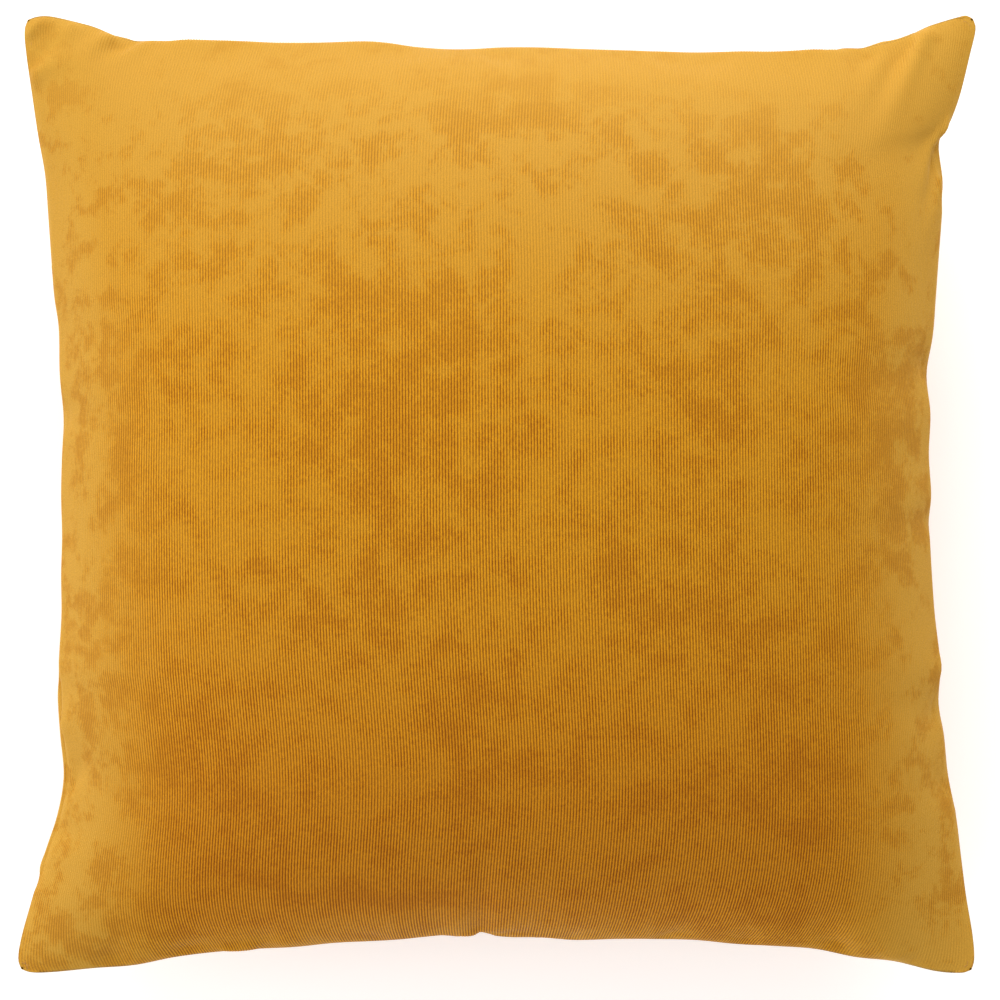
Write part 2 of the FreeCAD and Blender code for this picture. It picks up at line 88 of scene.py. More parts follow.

# %% [markdown]
# **The knife edge.** A stuffed cover pulls its sides in between the corners, and leaves the
# corners as soft ears. No two sides are alike: each has small waves where the cloth gathers.
# A tidy arc would look moulded, so each side is a smooth line through listed points.

# %% The four sides of the knife edge
CORNERS = {"bottom left": (-246.2, -245.8), "bottom right": (246.0, -246.2),
           "top left": (-242.8, 245.9), "top right": (246.7, 246.5)}
LEFT_SIDE = [(-247.8, -240), (-245.8, -228), (-240.1, -207.5), (-234.9, -186.7), (-227.9, -166),
             (-224.4, -146), (-226.1, -124.6), (-227.3, -104), (-226.6, -83), (-225.4, -62),
             (-225.6, -41.7), (-225.1, -21), (-225.6, 0), (-225.1, 20.5), (-224.3, 40), (-226.3, 62),
             (-226.8, 86), (-229.2, 103), (-230.8, 124), (-232.3, 145), (-233.9, 165.5),
             (-237.5, 186), (-240.6, 207), (-243.6, 228), (-244.5, 240)]
RIGHT_SIDE = [(247.5, -240.5), (246.6, -228), (243.2, -207.5), (240.6, -187), (238, -166),
              (233.9, -145.3), (231.8, -124.6), (229, -108), (229.9, -88), (227.1, -62.4),
              (225.6, -41.7), (224.6, -24), (223.9, -13.7), (225.2, 0), (224, 20.5), (224.8, 42),
              (222.8, 62.4), (226.1, 82.6), (227.7, 103.3), (229.2, 124), (230.8, 145),
              (231.6, 162), (229.7, 182), (235, 193), (240.1, 207), (245.3, 228), (248.2, 241)]
BOTTOM_SIDE = [(-240.5, -247.6), (-228.7, -247.3), (-208, -245.3), (-187.3, -243.7), (-166.5, -239.6),
               (-145.8, -237), (-125, -235.4), (-104.4, -234.4), (-83.7, -232.3), (-63, -231.3),
               (-50, -230.5), (-30.8, -228.7), (-19, -229.5), (-7.5, -227.2), (0.3, -229.2),
               (22.5, -229.5), (41, -230.8), (61, -230.3), (82, -230.3), (103, -230.8),
               (123.5, -232.8), (144, -233.9), (165, -235.4), (186, -239.6), (206, -241.8),
               (227, -246.8), (240.5, -247.8)]
TOP_SIDE = [(-237, 247.7), (-228.7, 247.3), (-208, 242.2), (-192, 236.9), (-184, 235.8),
            (-166.5, 234.9), (-145.8, 234.4), (-125, 233.6), (-94, 233.2), (-63, 233.4), (-42, 231.3),
            (-21.5, 230.2), (0, 230.8), (20, 230.8), (41, 230.2), (61, 229.7), (82, 229.2),
            (103, 228.7), (123.5, 229.2), (144, 229.2), (165, 230.2), (186, 231.8), (194, 233.6),
            (206.4, 236.5), (227, 243.7), (242.6, 248)]


def cubic_at(values, places):
    """Reads rows of numbers at fractional places, on the smooth curve that passes through them."""
    last = len(values) - 1
    whole = np.clip(np.floor(places).astype(int), 0, last - 1)
    part = (places - whole).reshape(-1, *([1] * (values.ndim - 1)))
    before, after = values[np.clip(whole - 1, 0, last)], values[np.clip(whole + 2, 0, last)]
    here, there = values[whole], values[whole + 1]
    return here + 0.5 * part * (there - before + part * (
        2 * before - 5 * here + 4 * there - after + part * (3 * (here - there) + after - before)))


def step_lengths(line):
    """The length of each step along a line of points."""
    return np.linalg.norm(np.diff(line, axis=0), axis=1)


def even_line(start, points, end, count, fineness=3000):
    """A smooth line from corner to corner, as count points an equal distance apart, in metres."""
    knots = np.array([start, *points, end], float) * MM
    dense = cubic_at(knots, np.linspace(0, len(knots) - 1, fineness))
    run = np.concatenate([[0], np.cumsum(step_lengths(dense))])
    spots = np.linspace(0, run[-1], count)
    return np.stack([np.interp(spots, run, dense[:, axis]) for axis in (0, 1)], axis=1)


def window(value, middle, half, ramp):
    """1 within half of the middle, falling softly to 0 over the ramp."""
    edge = np.clip((half + ramp - np.abs(value - middle)) / ramp, 0, 1)
    return edge * edge * (3 - 2 * edge)


GRID = 121
outline = {
    "left": even_line(CORNERS["bottom left"], LEFT_SIDE, CORNERS["top left"], GRID),
    "right": even_line(CORNERS["bottom right"], RIGHT_SIDE, CORNERS["top right"], GRID),
    "bottom": even_line(CORNERS["bottom left"], BOTTOM_SIDE, CORNERS["bottom right"], GRID),
    "top": even_line(CORNERS["top left"], TOP_SIDE, CORNERS["top right"], GRID),
}
print("seam lengths in mm:", {name: round(float(step_lengths(line).sum() / MM))
                              for name, line in outline.items()})

# %% [markdown]
# In most places the seam is the outermost line. Where the seam rolls under, one panel stands out
# past it: both panels do along the zip, which hides in the valley between them, and the back
# panel peeps out at the lower left and beside two of the ears. So the seam is set in there, and
# each panel swells out past it by its own amount.

# %% Where the panels stand out past the seam
VALLEY_HALF, VALLEY_RAMP = 158 * MM, 22 * MM
LIP_SHARE, LIP_OUT = 1.45, 0.7 * MM
PULL_PLACE, PULL_COVER = -145 * MM, 0.55 * MM
top_x = outline["top"][:, 0]
zip_valley = window(top_x, 0.5 * (ZIP_LEFT + ZIP_RIGHT), VALLEY_HALF, VALLEY_RAMP)
top_inset = (outline["top"][:, 1] - (ZIP_MIDDLE - math.tan(ZIP_TILT) * top_x)) * zip_valley
# side, middle and half length along the side, how far the seam is set in, front swell, back swell
ROLLED_SEAMS = [("left", -148, 46, 2.0, 0.1, 3.2), ("top", 202, 9, 1.3, 0.2, 2.1),
                ("top", -192, 5, 1.0, 0.2, 1.3), ("right", 168, 9, 1.2, 0.0, 2.0),
                ("bottom", -13, 9, 0.6, 0.0, 0.8)]
INWARD = {"left": (1, 0), "right": (-1, 0), "bottom": (0, 1), "top": (0, -1)}
seam = {name: line.copy() for name, line in outline.items()}
seam["top"][:, 1] -= top_inset
swell = {(name, panel): np.zeros(GRID) for name in outline for panel in ("front", "back")}
for panel in ("front", "back"):
    swell[("top", panel)] += top_inset * LIP_SHARE + LIP_OUT * zip_valley
    swell[("top", panel)] += PULL_COVER * window(top_x, PULL_PLACE, 14 * MM, 20 * MM)
for name, middle, half, inset, front_out, back_out in ROLLED_SEAMS:
    along = outline[name][:, 0 if name in ("top", "bottom") else 1]
    shape = window(along, middle * MM, half * MM, 14 * MM)
    seam[name] += np.outer(shape * inset * MM, INWARD[name])
    swell[(name, "front")] += shape * front_out * MM
    swell[(name, "back")] += shape * back_out * MM
print("seam set in along the zip by up to", round(float(top_inset.max() / MM), 2), "mm")

# %% [markdown]
# **The stuffed shape.** Seen from the side, a plump pillow is flattest at its crown and falls
# ever more steeply to the seam. The slope at each share of the way out is a simple rule, and
# adding up the slopes gives the profile. The profile also says how the cloth spreads: a strip
# near the side stands on edge, so from above it looks narrower than a strip at the crown. The small
# waves of the seam die out within a few centimetres, so the cord's ribs run straight inside them.

# %% The crown's profile and the start shape
CROWN_SLOPE, SIDE_SLOPE = 26.5, 50.8
EAR_PLUMPNESS = 1.6
steps = np.linspace(0, 1, 401)
slopes = np.radians(CROWN_SLOPE * steps + SIDE_SLOPE * steps ** 4)
reach = np.concatenate([[0], np.cumsum((np.cos(slopes[1:]) + np.cos(slopes[:-1])) / 2)])
fall = np.concatenate([[0], np.cumsum((np.sin(slopes[1:]) + np.sin(slopes[:-1])) / 2)])
station = np.linspace(-1, 1, GRID)
spread = np.interp(np.abs(station), steps, reach / reach[-1]) * np.sign(station)
height_share = 1 - np.interp(np.abs(station), steps, fall / fall[-1])


def calmed(line, reach=16):
    """The line without its small waves: a soft running mean that leaves both ends in place."""
    weights = np.hanning(2 * reach + 3)[1:-1]
    before, after = 2 * line[0] - line[reach:0:-1], 2 * line[-1] - line[-2:-reach - 2:-1]
    longer = np.concatenate([before, line, after])
    weights /= weights.sum()
    return np.stack([np.convolve(longer[:, axis], weights, "valid") for axis in (0, 1)], axis=1)


calm = {name: calmed(line) for name, line in seam.items()}
WAVE_REACH = 0.09


def plan_at(across, up):
    """Plan places between the four sides of the seam, for two square arrays from 0 to 1."""
    def on_side(lines, name, share):
        return cubic_at(lines[name], share.ravel() * (GRID - 1)).reshape(*share.shape, 2)
    across_part, up_part = across[..., None], up[..., None]
    corner = {name: seam[side][end] for name, side, end in (
        ("bl", "bottom", 0), ("br", "bottom", -1), ("tl", "top", 0), ("tr", "top", -1))}
    between = on_side(calm, "bottom", across) * (1 - up_part) + on_side(calm, "top", across) * up_part
    beside = on_side(calm, "left", up) * (1 - across_part) + on_side(calm, "right", up) * across_part
    corners = ((corner["bl"] * (1 - across_part) + corner["br"] * across_part) * (1 - up_part)
               + (corner["tl"] * (1 - across_part) + corner["tr"] * across_part) * up_part)
    plan = between + beside - corners
    for name, share, distance in (("bottom", across, up_part), ("top", across, 1 - up_part),
                                  ("left", up, across_part), ("right", up, 1 - across_part)):
        wave = on_side(seam, name, share) - on_side(calm, name, share)
        plan = plan + wave * np.exp(-(distance / WAVE_REACH) ** 1.5)
    return plan


def stuffed_panel(rise):
    """One panel as a square grid of places, crowned by rise above (or below) the seam."""
    across = station[:, None] + (spread - station)[:, None] * height_share[None, :]
    up = station[None, :] + (spread - station)[None, :] * height_share[:, None]
    plan = plan_at((across + 1) / 2, (up + 1) / 2)
    share_x, share_y = height_share[:, None], height_share[None, :]
    share = share_x * share_y * (1 + EAR_PLUMPNESS * (1 - share_x) ** 2 * (1 - share_y) ** 2)
    height = SEAM + rise * share
    return np.concatenate([plan, height[..., None]], axis=2)


start_front, start_back = stuffed_panel(FRONT_RISE), stuffed_panel(-BACK_DROP)
thickness = start_front[..., 2].max() - start_back[..., 2].min()
print("stuffed thickness:", round(float(thickness / MM)), "mm")

# %% [markdown]
# **Stuffing it with Cloth.** The gathers round a real seam come from cloth that is cut larger
# than the space it is pulled into. Blender's Cloth can do the same: the two panels start in the
# stuffed shape, but a shape key tells the solver that they were cut flat and square, and a little
# pressure stands in for the fibre. The seam is pinned, and the crown is held loosely, so only the
# band between them is free to pucker. The solver starts from fixed numbers, so each run is alike.

# %% Sew the two grids together
front_index = np.arange(GRID * GRID).reshape(GRID, GRID)
back_index = front_index.copy()
back_index[1:-1, 1:-1] = GRID * GRID + np.arange((GRID - 2) ** 2).reshape(GRID - 2, GRID - 2)


def grid_faces(index, up):
    """Square faces over a grid of vertex numbers, wound to face up or down."""
    quads = np.stack([index[:-1, :-1], index[1:, :-1], index[1:, 1:], index[:-1, 1:]], axis=-1)
    quads = quads.reshape(-1, 4)
    return quads if up else quads[:, ::-1]


def closed_bag(front, back):
    """Two grids joined at their shared edge: one list of places and one of faces."""
    return (np.concatenate([front.reshape(-1, 3), back[1:-1, 1:-1].reshape(-1, 3)]),
            np.concatenate([grid_faces(front_index, True), grid_faces(back_index, False)]))


def new_object(name, data):
    """A new object in the scene that shows the data."""
    piece = bpy.data.objects.new(name, data)
    bpy.context.scene.collection.objects.link(piece)
    return piece


def mesh_from(name, places, faces):
    """A new mesh object from arrays of places and of faces with equal corners."""
    mesh = bpy.data.meshes.new(name)
    corners = faces.shape[1]
    mesh.vertices.add(len(places))
    mesh.vertices.foreach_set("co", np.ascontiguousarray(places, dtype=np.float32).ravel())
    mesh.loops.add(faces.size)
    mesh.loops.foreach_set("vertex_index", faces.astype(np.int32).ravel())
    mesh.polygons.add(len(faces))
    mesh.polygons.foreach_set("loop_start", np.arange(0, faces.size, corners, dtype=np.int32))
    mesh.update(calc_edges=True)
    mesh.validate()
    return new_object(name, mesh)


def evaluated_mesh(piece):
    """The piece's mesh with its modifiers and simulation worked in."""
    return bpy.data.meshes.new_from_object(piece.evaluated_get(bpy.context.evaluated_depsgraph_get()))


def smooth(piece):
    piece.data.polygons.foreach_set("use_smooth", np.ones(len(piece.data.polygons), bool))


def flat_cut():
    """The two panels as they were cut: square, flat and one on the other."""
    along = station * CUT_HALF
    flat = np.zeros((GRID, GRID, 3))
    flat[..., 0], flat[..., 1] = along[:, None], along[None, :]
    below = flat.copy()
    flat[1:-1, 1:-1, 2], below[..., 2] = 0.5 * MM, -0.5 * MM
    return np.concatenate([flat.reshape(-1, 3), below[1:-1, 1:-1].reshape(-1, 3)])


HOLD_STRENGTH, HOLD_HALF, HOLD_FADE = 0.3, 0.45, 0.4


def stuff_with_cloth(frames=16, pressure=1.0):
    """Runs the Cloth solver on both panels at once, and returns their places."""
    bag = mesh_from("bag", *closed_bag(start_front, start_back))
    bag.shape_key_add(name="Basis")
    cut = bag.shape_key_add(name="cut")
    cut.data.foreach_set("co", flat_cut().astype(np.float32).ravel())
    cut.value = 0
    hold = bag.vertex_groups.new(name="hold")
    from_middle = np.maximum(np.abs(station)[:, None], np.abs(station)[None, :])
    loose = HOLD_STRENGTH * (1 - np.clip((from_middle - HOLD_HALF) / HOLD_FADE, 0, 1))
    for index, strength in zip(front_index.ravel(), loose.ravel()):
        if strength > 0:
            hold.add([int(index), int(back_index.ravel()[index])], float(strength), "REPLACE")
    edge = [int(v) for v in front_index[from_middle > 0.9999]]
    hold.add(edge, 1.0, "REPLACE")
    cloth = bag.modifiers.new("Cloth", "CLOTH")
    cloth.settings.rest_shape_key = cut
    settings = {"quality": 6, "mass": 0.3, "tension_stiffness": 80, "compression_stiffness": 80,
                "shear_stiffness": 6, "bending_stiffness": 0.3, "use_pressure": True,
                "uniform_pressure_force": pressure, "vertex_group_mass": "hold", "pin_stiffness": 1.0}
    for setting, value in settings.items():
        setattr(cloth.settings, setting, value)
    cloth.settings.effector_weights.gravity = 0
    cloth.point_cache.frame_start, cloth.point_cache.frame_end = 1, frames
    for step in range(1, frames + 1):
        bpy.context.scene.frame_set(step)
    settled = evaluated_mesh(bag)
    flat_list = np.empty(len(settled.vertices) * 3, dtype=np.float32)
    settled.vertices.foreach_get("co", flat_list)
    result = flat_list.reshape(-1, 3).astype(float)
    bpy.context.scene.frame_set(1)
    bpy.data.objects.remove(bag)
    bpy.data.meshes.remove(settled)
    return result[front_index], result[back_index]


coarse_front, coarse_back = stuff_with_cloth()
middle_row = coarse_front[:, GRID // 2, 0]
print("mid width", round(float((middle_row[-1] - middle_row[0]) / MM), 1),
      "mm, crown at", round(float(coarse_front[..., 2].max() / MM), 1), "mm")

# %% [markdown]
# ** Folds listed one by one.** The solver gives the soft puckers, but a few folds belong to this
# pillow: the dimples where the top corners were turned, the creases that run in from the seam,
# and the small scallops along the bottom. Each is a soft groove with a place, a direction, a
# length, a width and a depth, pressed into the grid along its normals.

# %% Press the folds in
# By side: place along it, how far in it starts, length, lean in degrees, width and depth.
# Lengths are in millimetres, and a minus depth is a ridge.
FRONT_FOLDS = {
    "top": [(-190, 1, 22, -35, 4.0, 2.2), (-199, 1, 24, -25, 4.5, -1.6), (-179, 1, 20, -30, 5.0, -1.0),
            (-220, 2, 22, -20, 5.0, -1.0), (-150, 3, 24, 38, 6.0, 1.2), (-64, 3, 18, 40, 5.0, 1.0),
            (-14, 3, 22, 42, 5.5, 1.3), (74, 3, 20, 35, 5.0, 0.9), (117, 3, 26, -38, 6.0, 1.2),
            (190, 2, 34, -28, 7.0, 1.2), (208, 4, 52, -22, 5.5, 1.9), (220, 5, 60, -24, 6.0, -1.5)],
    "left": [(226, 2, 20, 20, 6.0, 1.8), (236, 2, 22, 38, 3.5, -1.6), (214, 2, 26, 18, 4.5, -1.3),
             (40, 2, 22, 10, 7.0, 1.2), (-146, 1, 30, 35, 6.0, 2.0), (-118, 3, 24, 25, 6.0, -1.2),
             (-172, 2, 30, 10, 6.0, 0.9)],
    "right": [(178, 0, 42, -60, 4.5, 3.2), (189, 2, 44, -60, 5.0, -2.0), (164, 4, 40, -55, 7.0, -1.2),
              (62, 0, 24, 15, 6.0, 1.4), (-14, 0, 20, 0, 5.0, 1.0), (-108, 1, 26, -20, 6.0, 1.3),
              (-88, 2, 22, -10, 6.0, -0.8), (-150, 2, 24, 15, 7.0, 0.9)],
    "bottom": [(-7.5, 0, 26, 62, 5.0, 1.8), (-16, 4, 22, 62, 5.0, -1.3), (84, 2, 20, 30, 5.0, 1.1),
               (-118, 0, 24, 10, 5.0, 1.2), (-142, 5, 40, 74, 5.0, -1.3), (-164, 4, 26, 50, 7.0, 1.0),
               (-60, 2, 18, -15, 6.0, 0.7), (38, 2, 20, 10, 6.0, 0.8), (128, 2, 22, -12, 6.0, 0.8),
               (176, 2, 30, -25, 7.0, 1.3), (206, 3, 34, -40, 8.0, -1.2), (-200, 3, 30, 25, 7.0, 1.1)],
}
FOLD_STRENGTH, FOLD_STRETCH = 2.3, 1.6
FOLD_RAMP, ZIP_CALM, SEAM_HALF = 6, 14, 246
FOLD_ROOM, RIDGE_ROOM = 0.4, 3 * MM
ALONG = {"left": (0, 1), "right": (0, 1), "bottom": (1, 0), "top": (1, 0)}


def side_values(values, shares):
    """Values along a side, read at places from -1 to 1."""
    return np.interp((shares + 1) / 2 * (GRID - 1), np.arange(GRID), values)


def grid_normals(grid, up):
    """The unit normal at each point of a grid, up or down."""
    run_across, run_up = np.gradient(grid, axis=0), np.gradient(grid, axis=1)
    normal = np.cross(run_across, run_up)
    normal /= np.linalg.norm(normal, axis=2, keepdims=True) + 1e-12
    return normal if up else -normal


def cut_place():
    """Each grid point's place on the flat cut cloth, in millimetres from its middle."""
    along = station * CUT_HALF / MM
    return np.stack(np.broadcast_arrays(along[:, None], along[None, :]), axis=2)


def press_folds(grid, folds, up):
    """Presses each fold into the grid along its normals, fading out along its length."""
    spots, normal = cut_place(), grid_normals(grid, up)
    press = np.zeros((GRID, GRID))
    edge = CUT_HALF / MM
    every_fold = [(side, *mark) for side, marks in folds.items() for mark in marks]
    for side, place, start, length, lean, width, depth in every_fold:
        inward, along = np.array(INWARD[side], float), np.array(ALONG[side], float)
        foot = along * place * edge / SEAM_HALF - inward * edge
        turn = math.radians(lean)
        way = inward * math.cos(turn) + along * math.sin(turn)
        offset = spots - foot
        down = offset @ way - start
        beside = offset @ np.array([-way[1], way[0]])
        share = np.clip(down / (length * FOLD_STRETCH), 0, 1)
        near = np.clip((down + FOLD_RAMP) / FOLD_RAMP, 0, 1)
        fade = (1 - share) ** 1.5 * near * near * (3 - 2 * near)
        spread_width = width * (1 + 0.9 * share)
        press += depth * fade * np.exp(-(beside / spread_width) ** 2)
    to_edge = edge - np.maximum(np.abs(spots[..., 0]), np.abs(spots[..., 1]))
    press *= np.clip(to_edge / FOLD_RAMP, 0, 1)
    zip_near = np.exp(-((edge - spots[..., 1]) / ZIP_CALM) ** 2)
    press *= 1 - side_values(zip_valley, station)[:, None] * zip_near
    press *= FOLD_STRENGTH * MM
    room = FOLD_ROOM * np.abs(grid[..., 2] - SEAM)
    press = np.clip(press, -room - RIDGE_ROOM, room)
    return grid - normal * press[..., None]


def mirrored(folds):
    """The back has folds of its own: the front's, moved along and turned."""
    return {side: [(-0.93 * place + 9, start, length * 1.1, -lean, width, depth * 0.9)
                   for place, start, length, lean, width, depth in marks]
            for side, marks in folds.items()}


coarse_front = press_folds(coarse_front, FRONT_FOLDS, True)
coarse_back = press_folds(coarse_back, mirrored(FRONT_FOLDS), False)
print(sum(len(marks) for marks in FRONT_FOLDS.values()), "folds pressed into each panel")

# %% [markdown]
# **From a coarse grid to cord.** The solver's grid has a point every 4 mm, and a rib is 1.5 mm
# wide. So each panel is read again on a finer grid, with four columns to a rib. The columns are
# places on the flat cloth, so the ribs follow the cloth. Near the bottom seam the cloth is
# eased in towards the middle, which makes the ribs lean inwards just before the seam.

# %% Read the panels again on a finer grid
COLUMNS = RIBS_ACROSS * 4 + 1
ROWS, ROW_CROWDING = 185, 0.08
EASE, EASE_REACH = 0.04, 30 * MM
SWELL_REACH, SLIT_REACH, SLIT_RISE = 5 * MM, 3 * MM, 0.6 * MM
column_share = np.linspace(-1, 1, COLUMNS)
row_share = np.linspace(-1, 1, ROWS)
row_share = row_share + ROW_CROWDING * np.sin(math.pi * row_share)
row_from_bottom = (row_share + 1) * CUT_HALF
ease = np.exp(-(row_from_bottom / EASE_REACH) ** 1.5) * EASE
eased_column = column_share[:, None] - ease[None, :] * (column_share * (1 - column_share ** 4))[:, None]


def fine_grid(coarse):
    """The coarse grid read at every fine row and column."""
    middle = (GRID - 1) / 2
    by_row = cubic_at(coarse.transpose(1, 0, 2), (row_share + 1) * middle).transpose(1, 0, 2)
    fine = np.empty((COLUMNS, ROWS, 3))
    for row in range(ROWS):
        fine[:, row] = cubic_at(by_row[:, row], (eased_column[:, row] + 1) * middle)
    return fine


def swell_past_seam(fine, panel):
    """Rolls the panel out past the seam where it stands proud, and opens the zip's slit."""
    up = 1 if panel == "front" else -1
    from_edge = {"bottom": (row_share + 1)[None, :], "top": (1 - row_share)[None, :],
                 "left": (column_share + 1)[:, None], "right": (1 - column_share)[:, None]}
    for side, (inward_x, inward_y) in INWARD.items():
        shares = column_share if side in ("top", "bottom") else row_share
        amount = side_values(swell[(side, panel)], shares)
        amount = amount[:, None] if side in ("top", "bottom") else amount[None, :]
        distance = from_edge[side] * CUT_HALF / SWELL_REACH
        roll = amount * distance * np.exp(1 - distance)
        fine[..., 0] -= roll * inward_x
        fine[..., 1] -= roll * inward_y
    fade = np.exp(-(1 - row_share)[None, :] * CUT_HALF / SLIT_REACH)
    slit = side_values(zip_valley, column_share)[:, None] * fade
    fine[..., 2] += up * SLIT_RISE * slit
    return fine


fine_front = swell_past_seam(fine_grid(coarse_front), "front")
fine_back = swell_past_seam(fine_grid(coarse_back), "back")
REST_CLEARANCE = 0.4 * MM
fine_back[..., 2] = np.maximum(fine_back[..., 2], REST_CLEARANCE)
print("fine grid:", COLUMNS, "by", ROWS, "points, outermost at",
      round(float(fine_front[..., 1].max() / MM), 1), "mm")

# %% [markdown]
# Each panel carries on past the seam: its raw edge turns inwards as the seam allowance. Along
# the zip the same edge turns back behind the lip. Two extra rings of points make that strip, so
# no gap shows at the seam. The cloth's own places go into a UV map, for the ribs and the pile.

# %% Build the panels with their turned-in edges
FIRST_RING, ALLOWANCE_GAP = 3 * MM, 0.15 * MM
CORNER_TAPER, CORNER_LEAST = 0.16, 0.1
ZIP_LIP, ZIP_LIP_DEPTH, ZIP_LIP_FAR = 0.6 * MM, 2.8 * MM, 6.0 * MM


def turned_in(edge, shares, side, panel):
    """Two rings of points that carry an edge of the panel inwards."""
    up = 1 if panel == "front" else -1
    inward = np.array([*INWARD[side], 0.0])
    rings = []
    from_corner = np.clip((1 - np.abs(shares)) / CORNER_TAPER, CORNER_LEAST, 1)[:, None]
    for depth, lip_rise in ((FIRST_RING, ZIP_LIP), (ALLOWANCE, ZIP_LIP_FAR)):
        ring = edge + inward * depth * from_corner
        ring[:, 2] = SEAM + up * ALLOWANCE_GAP
        if side == "top":
            lip = edge + inward * ZIP_LIP_DEPTH
            lip[:, 2] = SEAM + up * lip_rise
            ring = ring + (lip - ring) * side_values(zip_valley, shares)[:, None]
        rings.append(ring)
    return rings


def cord_panel(name, fine, panel):
    """The fine grid and its turned-in edges as one mesh, with the flat cloth as its UV map."""
    up = panel == "front"
    wide = np.empty((COLUMNS + 4, ROWS + 4, 3))
    wide[2:-2, 2:-2] = fine
    for side, near, far, edge in (("bottom", 1, 0, 0), ("top", -2, -1, -1)):
        wide[2:-2, near], wide[2:-2, far] = turned_in(fine[:, edge], column_share, side, panel)
    for side, near, far, edge in (("left", 1, 0, 0), ("right", -2, -1, -1)):
        wide[near, 2:-2], wide[far, 2:-2] = turned_in(fine[edge], row_share, side, panel)
    index = np.arange(wide.shape[0] * wide.shape[1]).reshape(wide.shape[:2])
    keep = np.ones((wide.shape[0] - 1, wide.shape[1] - 1), bool)
    both_ends = (slice(0, 2), slice(-2, None))
    for corner_x in both_ends:
        for corner_y in both_ends:
            keep[corner_x, corner_y] = False
            wide[corner_x, corner_y] = wide[2, 2]
    faces = grid_faces(index, up)[keep.ravel()]
    used = np.unique(faces)
    renumber = np.zeros(index.size, int)
    renumber[used] = np.arange(len(used))
    piece = mesh_from(name, wide.reshape(-1, 3)[used], renumber[faces])
    near_share, far_share = 1 + FIRST_RING / CUT_HALF, 1 + ALLOWANCE / CUT_HALF
    across, along = (np.concatenate([[-far_share, -near_share], shares, [near_share, far_share]])
                     for shares in (column_share, row_share))
    cloth = np.stack(np.broadcast_arrays(across[:, None], along[None, :]), axis=2).reshape(-1, 2)[used]
    corner_vertex = np.empty(len(piece.data.loops), dtype=np.int32)
    piece.data.loops.foreach_get("vertex_index", corner_vertex)
    uv = piece.data.uv_layers.new(name="cut_cloth")
    uv.data.foreach_set("uv", ((cloth[corner_vertex] + 1) / 2).astype(np.float32).ravel())
    smooth(piece)
    print(name, "has", len(piece.data.polygons), "faces")
    return piece


front_cord = cord_panel("front_panel_cord", fine_front, "front")
back_cord = cord_panel("back_panel_cord", fine_back, "back")

# %% [markdown]
# **A small kit for materials and node trees.** A material or a Geometry Nodes tree is a list of
# nodes and of links. These helpers add one node, set the sockets that are plain numbers, and join the
# sockets that come from other nodes.

# %% Helpers for node trees


def add_node(tree, kind, settings=None, **sockets):
    """Adds a node; a socket's value is a number, or another node's output socket."""
    node = tree.nodes.new(kind)
    for name, value in (settings or {}).items():
        setattr(node, name, value)
    for name, value in sockets.items():
        key = int(name[1:]) if name[0] == "_" and name[1:].isdigit() else name.replace("_", " ")
        socket = node.inputs[key]
        if isinstance(value, bpy.types.NodeSocket):
            tree.links.new(value, socket)
        else:
            socket.default_value = value
    return node


def node_out(tree, kind, settings=None, **sockets):
    """Adds a node and gives back its first output."""
    return add_node(tree, kind, settings, **sockets).outputs[0]


def math_node(tree, operation, first, second=0.0, third=0.0, clamp=False):
    return node_out(tree, "ShaderNodeMath", {"operation": operation, "use_clamp": clamp},
                    _0=first, _1=second, _2=third)


def times(tree, value, factor):
    return math_node(tree, "MULTIPLY", value, factor)


def minus(tree, value, other):
    return math_node(tree, "SUBTRACT", value, other)


def times_plus(tree, value, factor, extra, clamp=False):
    return math_node(tree, "MULTIPLY_ADD", value, factor, extra, clamp)


def vector_node(tree, operation, first, **sockets):
    return node_out(tree, "ShaderNodeVectorMath", {"operation": operation}, _0=first, **sockets)


def noise(tree, vector, **sockets):
    return node_out(tree, "ShaderNodeTexNoise", Vector=vector, **sockets)


def bands(tree, direction, vector, scale, **sockets):
    return add_node(tree, "ShaderNodeTexWave", {"bands_direction": direction}, Vector=vector,
                    Scale=scale, **sockets).outputs[1]


def mix_colour(tree, factor, first, second, blend="MIX"):
    node = tree.nodes.new("ShaderNodeMix")
    node.data_type, node.blend_type = "RGBA", blend
    for place, value in ((0, factor), (6, first), (7, second)):
        if isinstance(value, bpy.types.NodeSocket):
            tree.links.new(value, node.inputs[place])
        else:
            node.inputs[place].default_value = value
    return node.outputs[2]


def soft_step(tree, value, low, high):
    """0 below low, 1 above high, smooth between."""
    return node_out(tree, "ShaderNodeMapRange", {"interpolation_type": "SMOOTHSTEP"},
                    Value=value, From_Min=low, From_Max=high)


def raise_relief(tree, shader, height, strength, distance):
    """Links a height to the shader's normal as bump."""
    bump = node_out(tree, "ShaderNodeBump", Height=height, Strength=strength, Distance=distance)
    tree.links.new(bump, shader.inputs["Normal"])


def new_material(name):
    material = bpy.data.materials.new(name)
    material.use_nodes = True
    tree = material.node_tree
    return material, tree, tree.nodes["Principled BSDF"]


# %% [markdown]
# ** Needlecord.** Cord is woven with loops of pile in columns, which are cut and brushed up into
# ribs. Light falls on the crests, and the grooves between them stay dark. The pile also leans:
# where it has been brushed or crushed it shows its paler sides and hides the grooves, in soft
# cloudy patches. So the colour is a mix of crest and groove, and noise decides where the patches
# are. Light and shade are painted into the colour as well: towards the top and the two sides it
# is paler and the grooves are hidden, as painted light and painted sheen, and the band near the
# bottom is darker and redder, as painted shade. Sheen gives the pale bloom of velvet at a
# glancing angle.

# %% Needlecord material
CREST = (0.70, 0.300, 0.0050, 1)
GROOVE = (0.24, 0.070, 0.0010, 1)
# The paler pile colour used towards the top and the sides carries more blue: painted sheen.
BRUSHED_AND_SHEEN = (0.575, 0.298, 0.0340, 1)
BRUSHED_LOW = (0.60, 0.283, 0.0110, 1)
SHADOWED = (0.36, 0.115, 0.0010, 1)
# A darker, redder tint for the band near the bottom: painted shade.
BOTTOM_SHADE_TINT = (0.95, 0.84, 0.50, 1)


